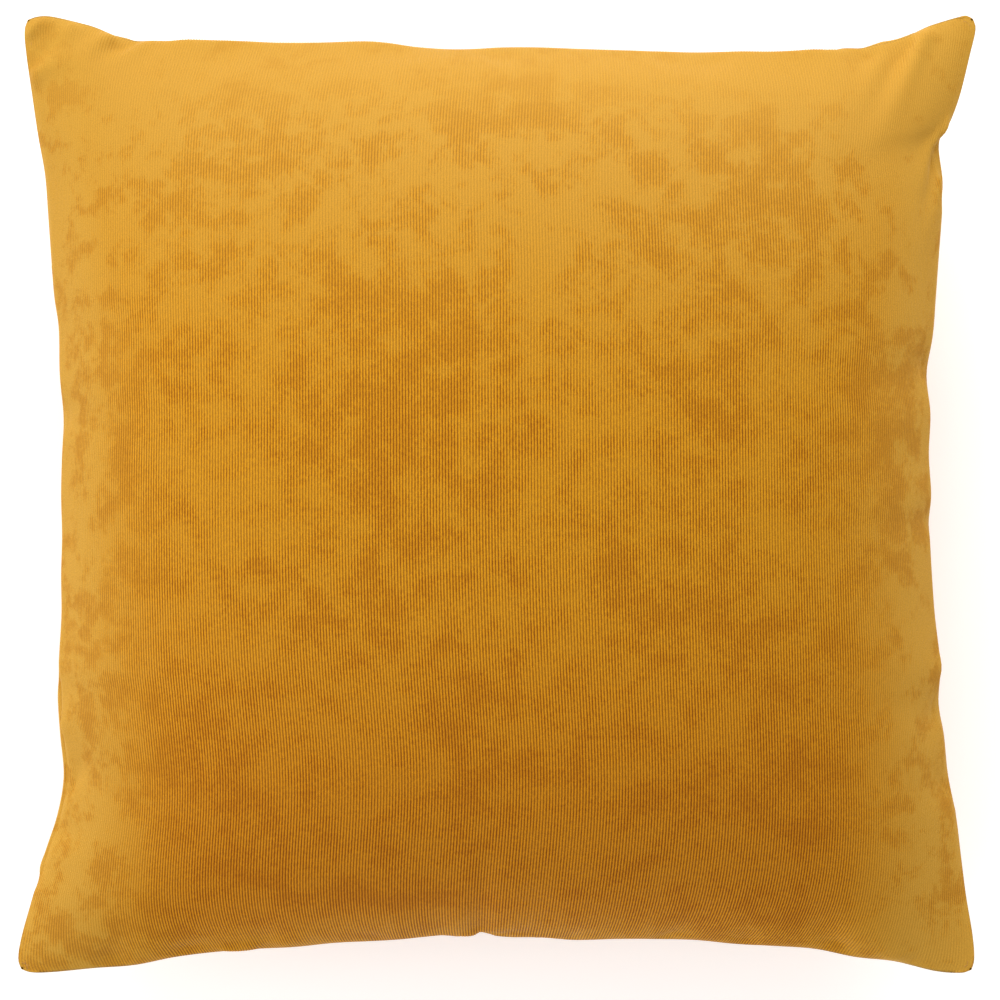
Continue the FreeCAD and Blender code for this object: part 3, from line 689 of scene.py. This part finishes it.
def needlecord():
    material, tree, shader = new_material("cord_cloth_needlecord")
    cloth = node_out(tree, "ShaderNodeUVMap", {"uv_map": "cut_cloth"})
    split = add_node(tree, "ShaderNodeSeparateXYZ", Vector=cloth)
    across, along = split.outputs[0], split.outputs[1]
    # Crest and groove. The ribs are straight, but their tufts are uneven and break them up.
    wander = noise(tree, cloth, Scale=190.0, Detail=2.0)
    phase = times_plus(tree, wander, 0.14, times(tree, across, RIBS_ACROSS))
    turn = times(tree, minus(tree, phase, 0.07), 2 * math.pi)
    crest = soft_step(tree, math_node(tree, "COSINE", turn), -0.9, 0.75)
    dashes = node_out(tree, "ShaderNodeMapping", Vector=cloth, Scale=(RIBS_ACROSS * 1.3, 230.0, 1.0))
    tufts = noise(tree, dashes, Scale=1.0, Detail=3.0, Roughness=0.65)
    crest = times_plus(tree, minus(tree, tufts, 0.5), 1.6, crest, clamp=True)
    # Cloudy patches, where the pile is brushed up or crushed. Painted light is added to them: paler
    # towards the top and the sides, darker towards the bottom.
    clouds = noise(tree, cloth, Scale=27.0, Detail=9.0, Roughness=0.7, Distortion=0.1)
    patches = noise(tree, cloth, Scale=6.0, Detail=3.0)
    cloudy = times_plus(tree, patches, 0.34, times(tree, clouds, 0.66))
    # Towards the top the colour is paler and the grooves are hidden: painted light.
    lit_top = soft_step(tree, along, 0.50, 0.90)
    lit_top_edge = soft_step(tree, along, 0.82, 0.97)
    # The band near the bottom shows more of its dark grooves: painted shade.
    low = times(tree, soft_step(tree, along, 0.50, 0.14), soft_step(tree, along, 0.0, 0.09))
    # Towards the left and right edges the colour is paler and the grooves are hidden: painted sheen.
    from_middle = math_node(tree, "ABSOLUTE", minus(tree, across, 0.5))
    sheen_sides = soft_step(tree, from_middle, 0.28, 0.45)
    lifted_and_lit = times_plus(tree, lit_top, 0.045, times_plus(tree, sheen_sides, 0.06, cloudy))
    brushed_and_lit = soft_step(tree, lifted_and_lit, 0.42, 0.60)
    cover = times_plus(tree, lit_top, 0.54, times_plus(tree, low, -0.14, 0.38))
    hidden = times(tree, brushed_and_lit, math_node(tree, "MAXIMUM", cover, sheen_sides))
    # The grooves are hidden most at the top and at the sides: painted light and painted sheen.
    least = times_plus(tree, lit_top, 0.56, times(tree, lit_top_edge, 0.36))
    least = math_node(tree, "MAXIMUM", least, times(tree, sheen_sides, 0.6))
    hidden = math_node(tree, "MAXIMUM", hidden, least)
    pale = mix_colour(tree, math_node(tree, "MAXIMUM", lit_top, sheen_sides), BRUSHED_LOW, BRUSHED_AND_SHEEN)
    colour = mix_colour(tree, hidden, mix_colour(tree, crest, GROOVE, CREST), pale)
    # Darker cloudy patches of random pile tone, with painted shade that grows towards the bottom.
    level = times_plus(tree, lit_top, -0.14, 0.27)
    shaded_patches = times(tree, soft_step(tree, cloudy, 0.50, 0.40), level)
    colour = mix_colour(tree, shaded_patches, colour, SHADOWED)
    # The band near the bottom, away from the sides, is tinted darker and redder: painted shade.
    colour = mix_colour(tree, times(tree, low, minus(tree, 1.0, sheen_sides)),
                        colour, mix_colour(tree, 1.0, colour, BOTTOM_SHADE_TINT, "MULTIPLY"))
    grain = noise(tree, cloth, Scale=850.0, Detail=2.0)
    shade = times_plus(tree, grain, 0.6, 0.70)
    tint = node_out(tree, "ShaderNodeCombineColor", Red=shade, Green=shade, Blue=shade)
    colour = mix_colour(tree, 1.0, colour, tint, "MULTIPLY")
    tree.links.new(colour, shader.inputs["Base Color"])
    tree.links.new(times_plus(tree, brushed_and_lit, -0.1, 0.72), shader.inputs["Roughness"])
    raise_relief(tree, shader, grain, 0.4, 0.3 * MM)
    shader.inputs["IOR"].default_value = 1.45
    shader.inputs["Specular IOR Level"].default_value = 0.16
    shader.inputs["Sheen Weight"].default_value = 0.12
    shader.inputs["Sheen Roughness"].default_value = 0.4
    shader.inputs["Sheen Tint"].default_value = (1.0, 0.80, 0.38, 1)
    return material


cord_cloth = needlecord()
print("material", cord_cloth.name, "has", len(cord_cloth.node_tree.nodes), "nodes")

# %% [markdown]
# **Ribs.** A rib is the same small wave over and over, so Geometry Nodes make it. The tree reads
# each point's place on the cut cloth, turns it into a share of one rib, and moves the point out
# along the normal. Close to the seam the ribs are pressed flat by the stitching, so they fade.

# %% Geometry Nodes: ribs
def new_tree(name, inputs):
    """An empty geometry tree with named number inputs and a material, and its two end nodes."""
    tree = bpy.data.node_groups.new(name, "GeometryNodeTree")
    tree.interface.new_socket(name="Geometry", in_out="INPUT", socket_type="NodeSocketGeometry")
    for label in inputs:
        tree.interface.new_socket(name=label, in_out="INPUT", socket_type="NodeSocketFloat")
    tree.interface.new_socket(name="material", in_out="INPUT", socket_type="NodeSocketMaterial")
    tree.interface.new_socket(name="Geometry", in_out="OUTPUT", socket_type="NodeSocketGeometry")
    return tree, tree.nodes.new("NodeGroupInput"), tree.nodes.new("NodeGroupOutput")


def finish_tree(tree, geometry, material, end):
    """Realizes the instances, gives them their material, and ends the tree."""
    real = node_out(tree, "GeometryNodeRealizeInstances", Geometry=geometry)
    dressed = node_out(tree, "GeometryNodeSetMaterial", Geometry=real, Material=material)
    tree.links.new(dressed, end.inputs[0])


def run_tree(piece, tree, **values):
    """Runs the tree on a piece and keeps the result as its plain mesh."""
    modifier = piece.modifiers.new(tree.name, "NODES")
    modifier.node_group = tree
    sockets = {item.name: item.identifier for item in tree.interface.items_tree
               if item.in_out == "INPUT"}
    for label, value in values.items():
        modifier[sockets[label.replace("_", " ")]] = value
    made = evaluated_mesh(piece)
    piece.modifiers.remove(modifier)
    old = piece.data
    piece.data = made
    made.name = piece.name
    bpy.data.meshes.remove(old)
    print(piece.name, "made by", tree.name, "with", len(made.polygons), "faces")
    return piece


def place_in_frame(piece, node, body="pillow"):
    """Says which body a piece moves with, and hides the node of the frame that it stands for."""
    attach(piece, body)
    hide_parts(node)


def rib_tree():
    tree, given, end = new_tree("ribs", ["rib count", "rib height", "seam fade"])
    place = add_node(tree, "GeometryNodeInputNamedAttribute", {"data_type": "FLOAT_VECTOR"},
                     Name="cut_cloth")
    split = add_node(tree, "ShaderNodeSeparateXYZ", Vector=place.outputs["Attribute"])
    turns = times(tree, split.outputs[0], given.outputs["rib count"])
    wave = math_node(tree, "COSINE", times(tree, turns, 2 * math.pi))
    rounded = math_node(tree, "POWER", times_plus(tree, wave, 0.5, 0.5), 0.7)
    inside = None
    for output in (split.outputs[0], split.outputs[1]):
        far = minus(tree, 0.5, math_node(tree, "ABSOLUTE", minus(tree, output, 0.5)))
        share = math_node(tree, "DIVIDE", far, given.outputs["seam fade"], clamp=True)
        inside = share if inside is None else times(tree, inside, share)
    lift = times(tree, times(tree, rounded, inside), given.outputs["rib height"])
    normal = tree.nodes.new("GeometryNodeInputNormal").outputs[0]
    offset = vector_node(tree, "SCALE", normal, Scale=lift)
    moved = node_out(tree, "GeometryNodeSetPosition", Geometry=given.outputs[0], Offset=offset)
    finish_tree(tree, moved, given.outputs["material"], end)
    return tree


RIB_HEIGHT, SEAM_FADE = 0.32 * MM, 0.012
ribs = rib_tree()
for panel, node in ((front_cord, "front_panel"), (back_cord, "back_panel")):
    run_tree(panel, ribs, rib_count=float(RIBS_ACROSS), rib_height=RIB_HEIGHT,
             seam_fade=SEAM_FADE, material=cord_cloth)
    place_in_frame(panel, node)

# %% [markdown]
# **Thread, tape, metal and casing.** The small pieces need finishes too. Thread is twisted, so it
# has a fine slanting ridge; a zip tape is a herringbone weave; the zip's metal is painted to match
# and worn a little at its edges; the insert's casing is pressed felt with a grid of weld dots.

# %% Materials for the small pieces
def object_place(tree, scale=(1, 1, 1), turn=0.0):
    place = add_node(tree, "ShaderNodeTexCoord").outputs["Object"]
    return node_out(tree, "ShaderNodeMapping", Vector=place, Scale=scale, Rotation=(0, 0, turn))


def finish_cloth(tree, shader, colour, relief, depth, roughness):
    tree.links.new(colour, shader.inputs["Base Color"])
    raise_relief(tree, shader, relief, 0.7, depth)
    shader.inputs["Roughness"].default_value = roughness
    shader.inputs["Specular IOR Level"].default_value = 0.3


def twisted_thread(name, dark, light):
    material, tree, shader = new_material(name)
    ridges = bands(tree, "DIAGONAL", object_place(tree), 900.0, Distortion=1.5, Detail=1.0)
    fuzz = noise(tree, object_place(tree), Scale=2500.0, Detail=3.0)
    both = times_plus(tree, fuzz, 0.4, times(tree, ridges, 0.6))
    finish_cloth(tree, shader, mix_colour(tree, both, dark, light), both, 0.0001, 0.7)
    shader.inputs["Sheen Weight"].default_value = 0.3
    return material


def herringbone_tape():
    material, tree, shader = new_material("zip_tape_herringbone")
    turned = object_place(tree, turn=ZIP_TILT)
    weave = times(tree, bands(tree, "X", turned, 620.0), bands(tree, "Z", turned, 420.0))
    wear = noise(tree, turned, Scale=120.0, Detail=4.0)
    woven = mix_colour(tree, weave, (0.24, 0.095, 0.012, 1), (0.56, 0.27, 0.04, 1))
    finish_cloth(tree, shader, mix_colour(tree, times(tree, wear, 0.3), woven, (0.6, 0.32, 0.07, 1)),
                 weave, 0.00015, 0.8)
    return material


def moulded_nylon():
    material, tree, shader = new_material("zip_coil_nylon")
    streaks = noise(tree, object_place(tree, (1, 4, 4)), Scale=600.0, Detail=3.0)
    finish_cloth(tree, shader, mix_colour(tree, streaks, (0.36, 0.15, 0.02, 1), (0.5, 0.24, 0.04, 1)),
                 streaks, 0.00005, 0.42)
    return material


def painted_zinc():
    material, tree, shader = new_material("zip_metal_painted")
    place = object_place(tree)
    chips = noise(tree, place, Scale=1800.0, Detail=5.0, Roughness=0.7)
    ridge = add_node(tree, "ShaderNodeNewGeometry").outputs["Pointiness"]
    worn = soft_step(tree, times_plus(tree, chips, 0.2, ridge), 0.78, 0.86)
    peel = noise(tree, place, Scale=900.0, Detail=2.0)
    painted = mix_colour(tree, worn, (0.42, 0.20, 0.012, 1), (0.6, 0.58, 0.54, 1))
    tree.links.new(painted, shader.inputs["Base Color"])
    tree.links.new(worn, shader.inputs["Metallic"])
    tree.links.new(times_plus(tree, peel, 0.2, 0.38), shader.inputs["Roughness"])
    raise_relief(tree, shader, peel, 0.2, 0.1 * MM)
    return material


def satin_ribbon():
    material, tree, shader = new_material("label_cloth_satin")
    weave = bands(tree, "X", object_place(tree), 1100.0)
    finish_cloth(tree, shader, mix_colour(tree, weave, (0.78, 0.77, 0.73, 1), (0.9, 0.89, 0.86, 1)),
                 weave, 0.00005, 0.35)
    return material


def felted_casing():
    material, tree, shader = new_material("insert_casing_felt")
    dots = node_out(tree, "ShaderNodeTexVoronoi", Vector=object_place(tree), Scale=520.0,
                    Randomness=0.15)
    pressed = soft_step(tree, dots, 0.18, 0.34)
    fibres = noise(tree, object_place(tree), Scale=1500.0, Detail=4.0)
    white = mix_colour(tree, fibres, (0.78, 0.77, 0.74, 1), (0.9, 0.89, 0.87, 1))
    finish_cloth(tree, shader, mix_colour(tree, pressed, (0.7, 0.69, 0.66, 1), white),
                 pressed, 0.0001, 0.85)
    return material


def carded_fibre():
    material, tree, shader = new_material("fibre_carded")
    strands = noise(tree, object_place(tree, (1, 1, 3)), Scale=160.0, Detail=8.0,
                    Roughness=0.75, Distortion=1.2)
    finish_cloth(tree, shader, mix_colour(tree, strands, (0.72, 0.72, 0.7, 1), (0.96, 0.96, 0.95, 1)),
                 strands, 0.002, 0.95)
    shader.inputs["Sheen Weight"].default_value = 0.5
    return material


finishes = {
    "sewing_thread": twisted_thread("sewing_thread_twisted",
                                    (0.34, 0.14, 0.018, 1), (0.66, 0.33, 0.06, 1)),
    "insert_thread": twisted_thread("insert_thread_twisted",
                                    (0.7, 0.7, 0.67, 1), (0.93, 0.93, 0.9, 1)),
    "zip_tape": herringbone_tape(), "zip_coil": moulded_nylon(), "zip_metal": painted_zinc(),
    "label_cloth": satin_ribbon(), "insert_casing": felted_casing(), "fibre": carded_fibre()}
print(len(finishes), "finishes for the small pieces")

# %% [markdown]
# **Stitches.** A lockstitch shows as a row of short, plump bars of thread. One tree makes every
# row: it walks along a path, sets a small rounded bar at each step, and turns it to the path.
# The seam's needle thread lies on the front allowance and the bobbin thread under the back one,
# both a few millimetres inside the knife edge, and both stop where the zip begins.

# %% Geometry Nodes: a row of stitches
def path_object(name, runs):
    """Open lines of points as a mesh of edges, for a tree to walk along."""
    places, edges, start = [], [], 0
    for run in runs:
        places += [tuple(point) for point in run]
        edges += [(start + step, start + step + 1) for step in range(len(run) - 1)]
        start += len(run)
    mesh = bpy.data.meshes.new(name)
    mesh.from_pydata(places, edges, [])
    return new_object(name, mesh)


def even_path(tree, given, spacing):
    """The given path as a curve with evenly spaced points."""
    line = node_out(tree, "GeometryNodeMeshToCurve", Mesh=given.outputs[0])
    return node_out(tree, "GeometryNodeResampleCurve", {"mode": "LENGTH"}, Curve=line,
                    Length=spacing)


def turned_along(tree, axis, turn):
    """A rotation that lays an axis along the path and then turns by the given angles."""
    tangent = tree.nodes.new("GeometryNodeInputTangent").outputs[0]
    laid = node_out(tree, "FunctionNodeAlignRotationToVector", {"axis": axis}, Vector=tangent)
    return node_out(tree, "FunctionNodeRotateRotation", {"rotation_space": "LOCAL"},
                    _0=laid, _1=turn)


def circle(tree, count, radius):
    return node_out(tree, "GeometryNodeCurvePrimitiveCircle", Resolution=count, Radius=radius)


def stitch_tree():
    tree, given, end = new_tree("stitch row", ["spacing", "length", "width", "turn"])
    points = even_path(tree, given, given.outputs["spacing"])
    twist = node_out(tree, "ShaderNodeCombineXYZ", Z=given.outputs["turn"])
    spun = turned_along(tree, "X", twist)
    bar = node_out(tree, "GeometryNodeMeshUVSphere", Segments=6, Rings=4, Radius=0.5)
    size = node_out(tree, "ShaderNodeCombineXYZ", X=given.outputs["length"], Y=given.outputs["width"],
                    Z=given.outputs["width"])
    row = node_out(tree, "GeometryNodeInstanceOnPoints", Points=points, Instance=bar,
                   Rotation=spun, Scale=size)
    finish_tree(tree, row, given.outputs["material"], end)
    return tree


stitch_row = stitch_tree()
# The step from stitch to stitch, and the length and width of one, in millimetres.
LOCKSTITCH, TAPE_STITCH = (2.6, 2.3, 0.45), (2.4, 2.1, 0.32)
TACK_STITCH, CASING_STITCH = (0.3, 1.4, 0.4), (3.0, 2.6, 0.4)


def stitches(node, runs, slot, stitch, turn=0.0):
    """A piece of stitching for a node: one kind of stitch along each of the runs."""
    spacing, length, width = (size * MM for size in stitch)
    piece = path_object(node + "_stitches", runs)
    run_tree(piece, stitch_row, spacing=spacing, length=length, width=width, turn=turn,
             material=finishes[slot])
    smooth(piece)
    place_in_frame(piece, node)
    return piece


def seam_runs(inset, height, shrink=1.0, skip_zip=True):
    """The knife edge drawn in by inset, at one height, as lines that leave out the zip."""
    ring = shrink * np.concatenate([seam["bottom"][:-1], seam["right"][:-1],
                                    seam["top"][::-1][:-1], seam["left"][::-1]])
    way = np.gradient(ring, axis=0)
    way /= np.linalg.norm(way, axis=1, keepdims=True)
    ring = ring + np.stack([-way[:, 1], way[:, 0]], axis=1) * inset
    ring = np.concatenate([ring, np.full((len(ring), 1), height)], axis=1)
    near_top = ring[:, 1] > 0.2
    in_zip = near_top & (ring[:, 0] > ZIP_LEFT) & (ring[:, 0] < ZIP_RIGHT) & skip_zip
    cuts = np.flatnonzero(np.diff(in_zip.astype(int))) + 1
    return [part for part, zipped in zip(np.split(ring, cuts), in_zip[[0, *cuts]])
            if len(part) > 1 and not zipped]


STITCH_INSET, STITCH_LIFT = 3.3 * MM, 0.5 * MM
for node, up in (("seam_needle_thread", 1), ("seam_bobbin_thread", -1)):
    stitches(node, seam_runs(STITCH_INSET, SEAM + up * STITCH_LIFT), "sewing_thread", LOCKSTITCH)

# %% [markdown]
# **Overlock.** The raw edges are wrapped together in a spiral of thread so that they can't fray.
# A second tree takes the same kind of path, steps round it eight points to a turn, and sweeps a
# thin round section along the spiral.

# %% Geometry Nodes: the overlocked edge
TURN_POINTS = 8
OVERLOCK_INSET = 12.2 * MM


def overlock_tree():
    tree, given, end = new_tree("overlock", ["turn length", "wrap radius", "thread radius"])
    step = math_node(tree, "DIVIDE", given.outputs["turn length"], float(TURN_POINTS))
    fine = even_path(tree, given, step)
    index = tree.nodes.new("GeometryNodeInputIndex").outputs[0]
    angle = times(tree, index, 2 * math.pi / TURN_POINTS)
    tangent = tree.nodes.new("GeometryNodeInputTangent").outputs[0]
    side = vector_node(tree, "CROSS_PRODUCT", tangent, _1=(0, 0, 1))
    sideways = vector_node(tree, "SCALE", side, Scale=math_node(tree, "COSINE", angle))
    upwards = node_out(tree, "ShaderNodeCombineXYZ", Z=math_node(tree, "SINE", angle))
    both = vector_node(tree, "ADD", sideways, _1=upwards)
    offset = vector_node(tree, "SCALE", both, Scale=given.outputs["wrap radius"])
    wrapped = node_out(tree, "GeometryNodeSetPosition", Geometry=fine, Offset=offset)
    section = circle(tree, 4, given.outputs["thread radius"])
    swept = node_out(tree, "GeometryNodeCurveToMesh", Curve=wrapped, Profile_Curve=section,
                     Fill_Caps=True)
    finish_tree(tree, swept, given.outputs["material"], end)
    return tree


overlock = path_object("overlock_thread_loops", seam_runs(OVERLOCK_INSET, SEAM))
run_tree(overlock, overlock_tree(), turn_length=2.2 * MM, wrap_radius=0.75 * MM,
         thread_radius=0.16 * MM, material=finishes["sewing_thread"])
place_in_frame(overlock, "overlock_thread")

# %% [markdown]
# **The hidden zip.** Two woven tapes are sewn behind the lips of cloth. Each carries half of a
# nylon coil, and the slider locks the halves together. Nothing of it shows from the front but
# the small pull in the valley. The tapes are bars with a soft selvedge, swept along the zip.

# %% Zip tapes and their stitching
def bar_along_zip(name, left, right, section, count, material):
    """A closed bar: the section's (out, up) points swept along the zip, with its ends capped."""
    along = np.linspace(left, right, count)
    rings = np.array([[zip_point(x, out, up) for out, up in section] for x in along])
    size = len(section)
    faces = []
    for step in range(count - 1):
        here, there = step * size, (step + 1) * size
        for corner in range(size):
            after = (corner + 1) % size
            faces.append([here + corner, here + after, there + after, there + corner])
    mesh = bpy.data.meshes.new(name)
    mesh.from_pydata(rings.reshape(-1, 3).tolist(), [],
                     faces + [list(range(size))[::-1], list(range((count - 1) * size, count * size))])
    mesh.materials.append(material)
    piece = new_object(name, mesh)
    face_outwards(piece)
    return piece


def face_outwards(piece, merge=0.0):
    """Merges doubles if asked, and recalculates the normals of a closed piece."""
    shape = bmesh.new()
    shape.from_mesh(piece.data)
    if merge:
        bmesh.ops.remove_doubles(shape, verts=shape.verts, dist=merge)
    bmesh.ops.recalc_face_normals(shape, faces=shape.faces)
    shape.to_mesh(piece.data)
    shape.free()


# Across the tape, in millimetres: how far out its two faces lie, and its stitching.
TAPE_OUT, TAPE_BACK, TAPE_STITCH_OUT, TAPE_STITCH_UP = -3.6, -4.1, -4.25, 3.6
TAPE_HALF = 162
for panel, up in (("front", 1), ("back", -1)):
    tape_section = [(out * MM, up * height * MM) for out, height in (
        (TAPE_OUT, 1.0), (TAPE_OUT - 0.05, 3.0), (TAPE_OUT, 6.0), (TAPE_OUT - 0.2, 6.3),
        (TAPE_BACK, 6.1), (TAPE_BACK + 0.05, 3.2), (TAPE_BACK, 1.1), (TAPE_BACK + 0.25, 0.9))]
    tape = bar_along_zip(f"zip_tape_{panel}_woven", -TAPE_HALF * MM, TAPE_HALF * MM, tape_section,
                         110, finishes["zip_tape"])
    place_in_frame(tape, f"zip_tape_{panel}")
    middle = [zip_point(x * MM, TAPE_STITCH_OUT * MM, up * TAPE_STITCH_UP * MM)
              for x in np.linspace(-TAPE_HALF, TAPE_HALF, 60)]
    stitches(f"zip_stitching_{panel}", [middle], "sewing_thread", TAPE_STITCH)

# %% [markdown]
# **Bar tacks** lock both ends of the opening: a short, dense pile of threads laid across it.

# %% Bar tacks
TACK_HALF_HEIGHT, TACK_OUT = 2.8, 0.75 * MM
for end_name, left in (("closed_end", -164), ("open_end", 164.6)):
    column = [zip_point((left + 0.7) * MM, TACK_OUT, up * MM)
              for up in np.linspace(-TACK_HALF_HEIGHT, TACK_HALF_HEIGHT, 12)]
    stitches(f"bar_tack_{end_name}", [column], "sewing_thread", TACK_STITCH, math.pi / 2)

# %% [markdown]
# ** The coil.** Each half is a row of nylon loops that stand across the tape's edge. A third tree
# sets one swept loop at every step. When the slider moves, the closed chain in front of it gets
# shorter.

# %% Geometry Nodes: the coil's loops
def coil_tree():
    tree, given, end = new_tree("coil loops", ["pitch", "loop radius", "nylon radius"])
    points = even_path(tree, given, given.outputs["pitch"])
    lean = turned_along(tree, "Z", (0.22, 0, 0))
    loop = circle(tree, 10, given.outputs["loop radius"])
    section = circle(tree, 4, given.outputs["nylon radius"])
    tooth = node_out(tree, "GeometryNodeCurveToMesh", Curve=loop, Profile_Curve=section)
    row = node_out(tree, "GeometryNodeInstanceOnPoints", Points=points, Instance=tooth, Rotation=lean)
    finish_tree(tree, row, given.outputs["material"], end)
    return tree


CHAIN_LEFT, CHAIN_RIGHT, SLIDE_TRAVEL = -154 * MM, 149.5 * MM, 297 * MM
CHAIN_OUT, CHAIN_UP, CHAIN_END = -5.2 * MM, 1.1 * MM, 0.5 * MM
coil_loops = coil_tree()
for panel, up in (("front", 1), ("back", -1)):
    core = [zip_point(x, CHAIN_OUT, up * CHAIN_UP)
            for x in np.linspace(CHAIN_LEFT + CHAIN_END, CHAIN_RIGHT - CHAIN_END, 50)]
    coil = path_object(f"zip_coil_{panel}_loops", [core])
    run_tree(coil, coil_loops, pitch=1.25 * MM, loop_radius=0.86 * MM, nylon_radius=0.22 * MM,
             material=finishes["zip_coil"])
    place_in_frame(coil, f"zip_coil_{panel}")
    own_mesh(coil)

# %% [markdown]
# **Slider, pull and stops.** These are hard, made parts, so the engineering model's own shapes are
# right. A copy of each is merged into one skin and its edges are rounded a little, as casting and
# paint leave them.

# %% Metal pieces with softened edges
def softened(node, bevel):
    """A merged copy of a node with small rounded edges."""
    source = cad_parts[node]
    mesh = source.data.copy()
    mesh.transform(source.matrix_world)
    mesh.materials.clear()
    mesh.materials.append(finishes["zip_metal"])
    piece = new_object(node + "_painted", mesh)
    face_outwards(piece, merge=1e-6)
    rounding = piece.modifiers.new("rounding", "BEVEL")
    rounding.width, rounding.segments, rounding.limit_method = bevel, 2, "ANGLE"
    rounding.angle_limit = math.radians(40)
    piece.data = evaluated_mesh(piece)
    piece.modifiers.clear()
    return piece


for node, body, bevel in (("zip_slider_body", "slider", 0.1), ("zip_pull_tab", "pull", 0.12),
                          ("zip_top_stop_front", "pillow", 0.2), ("zip_top_stop_back", "pillow", 0.2),
                          ("zip_bottom_stop", "pillow", 0.3)):
    metal = softened(node, bevel * MM)
    place_in_frame(metal, node, body)
    print(metal.name, "has", len(metal.data.polygons), "faces")

# %% [markdown]
# **The care label** is a blank folded ribbon, caught in the bottom seam's allowance on the inside.

# %% Care label
LABEL_GRID = (31, 19)
RIPPLE_HEIGHT, RIPPLE_TURN, RIBBON_PLY = 0.25 * MM, 260, 0.2 * MM
label_low, label_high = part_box("care_label")
ribbon_x = np.linspace(label_low.x, label_high.x, LABEL_GRID[0])[:, None]
ribbon_z = np.linspace(label_low.z, label_high.z, LABEL_GRID[1])[None, :]
hanging = 1 - np.linspace(0, 1, LABEL_GRID[1])[None, :]
ripple = RIPPLE_HEIGHT * np.sin((ribbon_x - label_low.x) * RIPPLE_TURN) * hanging
ribbon_y = 0.5 * (label_low.y + label_high.y) + ripple
ribbon = np.stack(np.broadcast_arrays(ribbon_x, ribbon_y, ribbon_z), axis=2)
label = mesh_from("care_label_ribbon", ribbon.reshape(-1, 3),
                  grid_faces(np.arange(ribbon_y.size).reshape(LABEL_GRID), True))
label.data.materials.append(finishes["label_cloth"])
ply = label.modifiers.new("ply", "SOLIDIFY")
ply.thickness, ply.offset = RIBBON_PLY, 0.0
place_in_frame(label, "care_label")

# %% [markdown]
# **The insert** is a smaller pillow of white felt, and the fill inside it a bag-shaped mass of
# carded fibre. Both press against what is round them, so they take the cover's own shape, drawn
# in. The fill is one closed lumpy form.

# %% Insert casing, its seam and the fibre fill
HALF_SPAN, CASING_INSET, FILL_INSET = 248.5, 14, 22
CASING_CROWN, FILL_CROWN = 0.972, 0.945


def drawn_in(grid, inset, crown_share):
    """A panel's coarse grid, smaller all round and lower at its crown."""
    inner = grid.copy()
    inner[..., :2] *= 1 - inset / HALF_SPAN
    inner[..., 2] = SEAM + (grid[..., 2] - SEAM) * crown_share
    return inner


for panel, grid, up in (("front", coarse_front, True), ("back", coarse_back, False)):
    places = drawn_in(grid, CASING_INSET, CASING_CROWN).reshape(-1, 3)
    casing = mesh_from(f"insert_{panel}_casing", places, grid_faces(front_index, up))
    smooth(casing)
    casing.data.materials.append(finishes["insert_casing"])
    place_in_frame(casing, f"insert_{panel}_panel")
casing_seam = seam_runs(1.6 * MM, SEAM + 0.3 * MM, 1 - CASING_INSET / HALF_SPAN, skip_zip=False)
stitches("insert_seam_thread", casing_seam, "insert_thread", CASING_STITCH)

LUMP_WAVES = 6
lump_phase = RNG.uniform(0, 2 * math.pi, (LUMP_WAVES, 2))
lumps = sum(np.sin(station[:, None] * (9 + 5 * k) + lump_phase[k, 0])
            * np.sin(station[None, :] * (8 + 6 * k) + lump_phase[k, 1]) / (k + 2)
            for k in range(LUMP_WAVES))
off_seam = np.clip(height_share[:, None] * height_share[None, :] * 4, 0, 1)
fill_front, fill_back = (drawn_in(grid, FILL_INSET, FILL_CROWN)
                         for grid in (coarse_front, coarse_back))
for fill_grid, up in ((fill_front, 1), (fill_back, -1)):
    fill_grid[..., 2] -= up * (1.5 + lumps) * MM * off_seam
fill = mesh_from("fibre_fill_mass", *closed_bag(fill_front, fill_back))
smooth(fill)
fill.data.materials.append(finishes["fibre"])
place_in_frame(fill, "fibre_fill")

# %% [markdown]
# **Floor.** The pillow lies on its back on a pale floor, which gives a little light of its own, so
# that it reads as a white page.

# %% Floor
floor = mesh_from("floor", np.array([[-6, -6, 0], [6, -6, 0], [6, 6, 0], [-6, 6, 0]], float),
                  np.array([[0, 1, 2, 3]]))
pale, _, pale_shader = new_material("pale_floor")
pale_shader.inputs["Base Color"].default_value = (0.9, 0.9, 0.9, 1)
pale_shader.inputs["Roughness"].default_value = 0.9
pale_shader.inputs["Emission Color"].default_value = (1, 1, 1, 1)
pale_shader.inputs["Emission Strength"].default_value = 0.35
floor.data.materials.append(pale)

# %% [markdown]
# **Light.** One large soft lamp stands beyond the zip side. It makes the upper part bright and lets
# the lower part fall away. A weaker lamp at the left and a soft white surround fill the shadows.

# %% Light
def soft_lamp(name, place, target, size, power):
    """A rectangular lamp at a place, turned to face its target."""
    data = bpy.data.lights.new(name, "AREA")
    data.shape, data.size, data.size_y = "RECTANGLE", size[0], size[1]
    data.energy = power
    lamp = new_object(name, data)
    lamp.location = place
    lamp.rotation_euler = (Vector(target) - Vector(place)).to_track_quat("-Z", "Y").to_euler()


soft_lamp("key", (0.1, 1.9, 1.25), (0, 0, 0.1), (2.0, 0.9), 36)
soft_lamp("side", (-1.9, -0.4, 1.0), (0, -0.1, 0.1), (0.9, 1.6), 18)
surround = bpy.data.worlds.new("surround")
surround.use_nodes = True
surround.node_tree.nodes["Background"].inputs["Color"].default_value = (1, 1, 1, 1)
surround.node_tree.nodes["Background"].inputs["Strength"].default_value = 0.66
bpy.context.scene.world = surround
bpy.context.scene.view_settings.view_transform = "Standard"

# %% [markdown]
# **Camera.** It looks straight down on the pillow through a long lens, so that all four sides look
# alike.

# %% Camera
CAMERA_DISTANCE = 2.0
VIEW_WIDTH = 0.518
VIEW_MIDDLE = (0.0018, -0.00285)
FILM_WIDTH = 36
camera_data = bpy.data.cameras.new("camera")
camera_data.sensor_width = FILM_WIDTH
camera_data.lens = FILM_WIDTH * CAMERA_DISTANCE / VIEW_WIDTH
camera = new_object("camera", camera_data)
camera.location = (*VIEW_MIDDLE, SEAM + CAMERA_DISTANCE)
bpy.context.scene.camera = camera
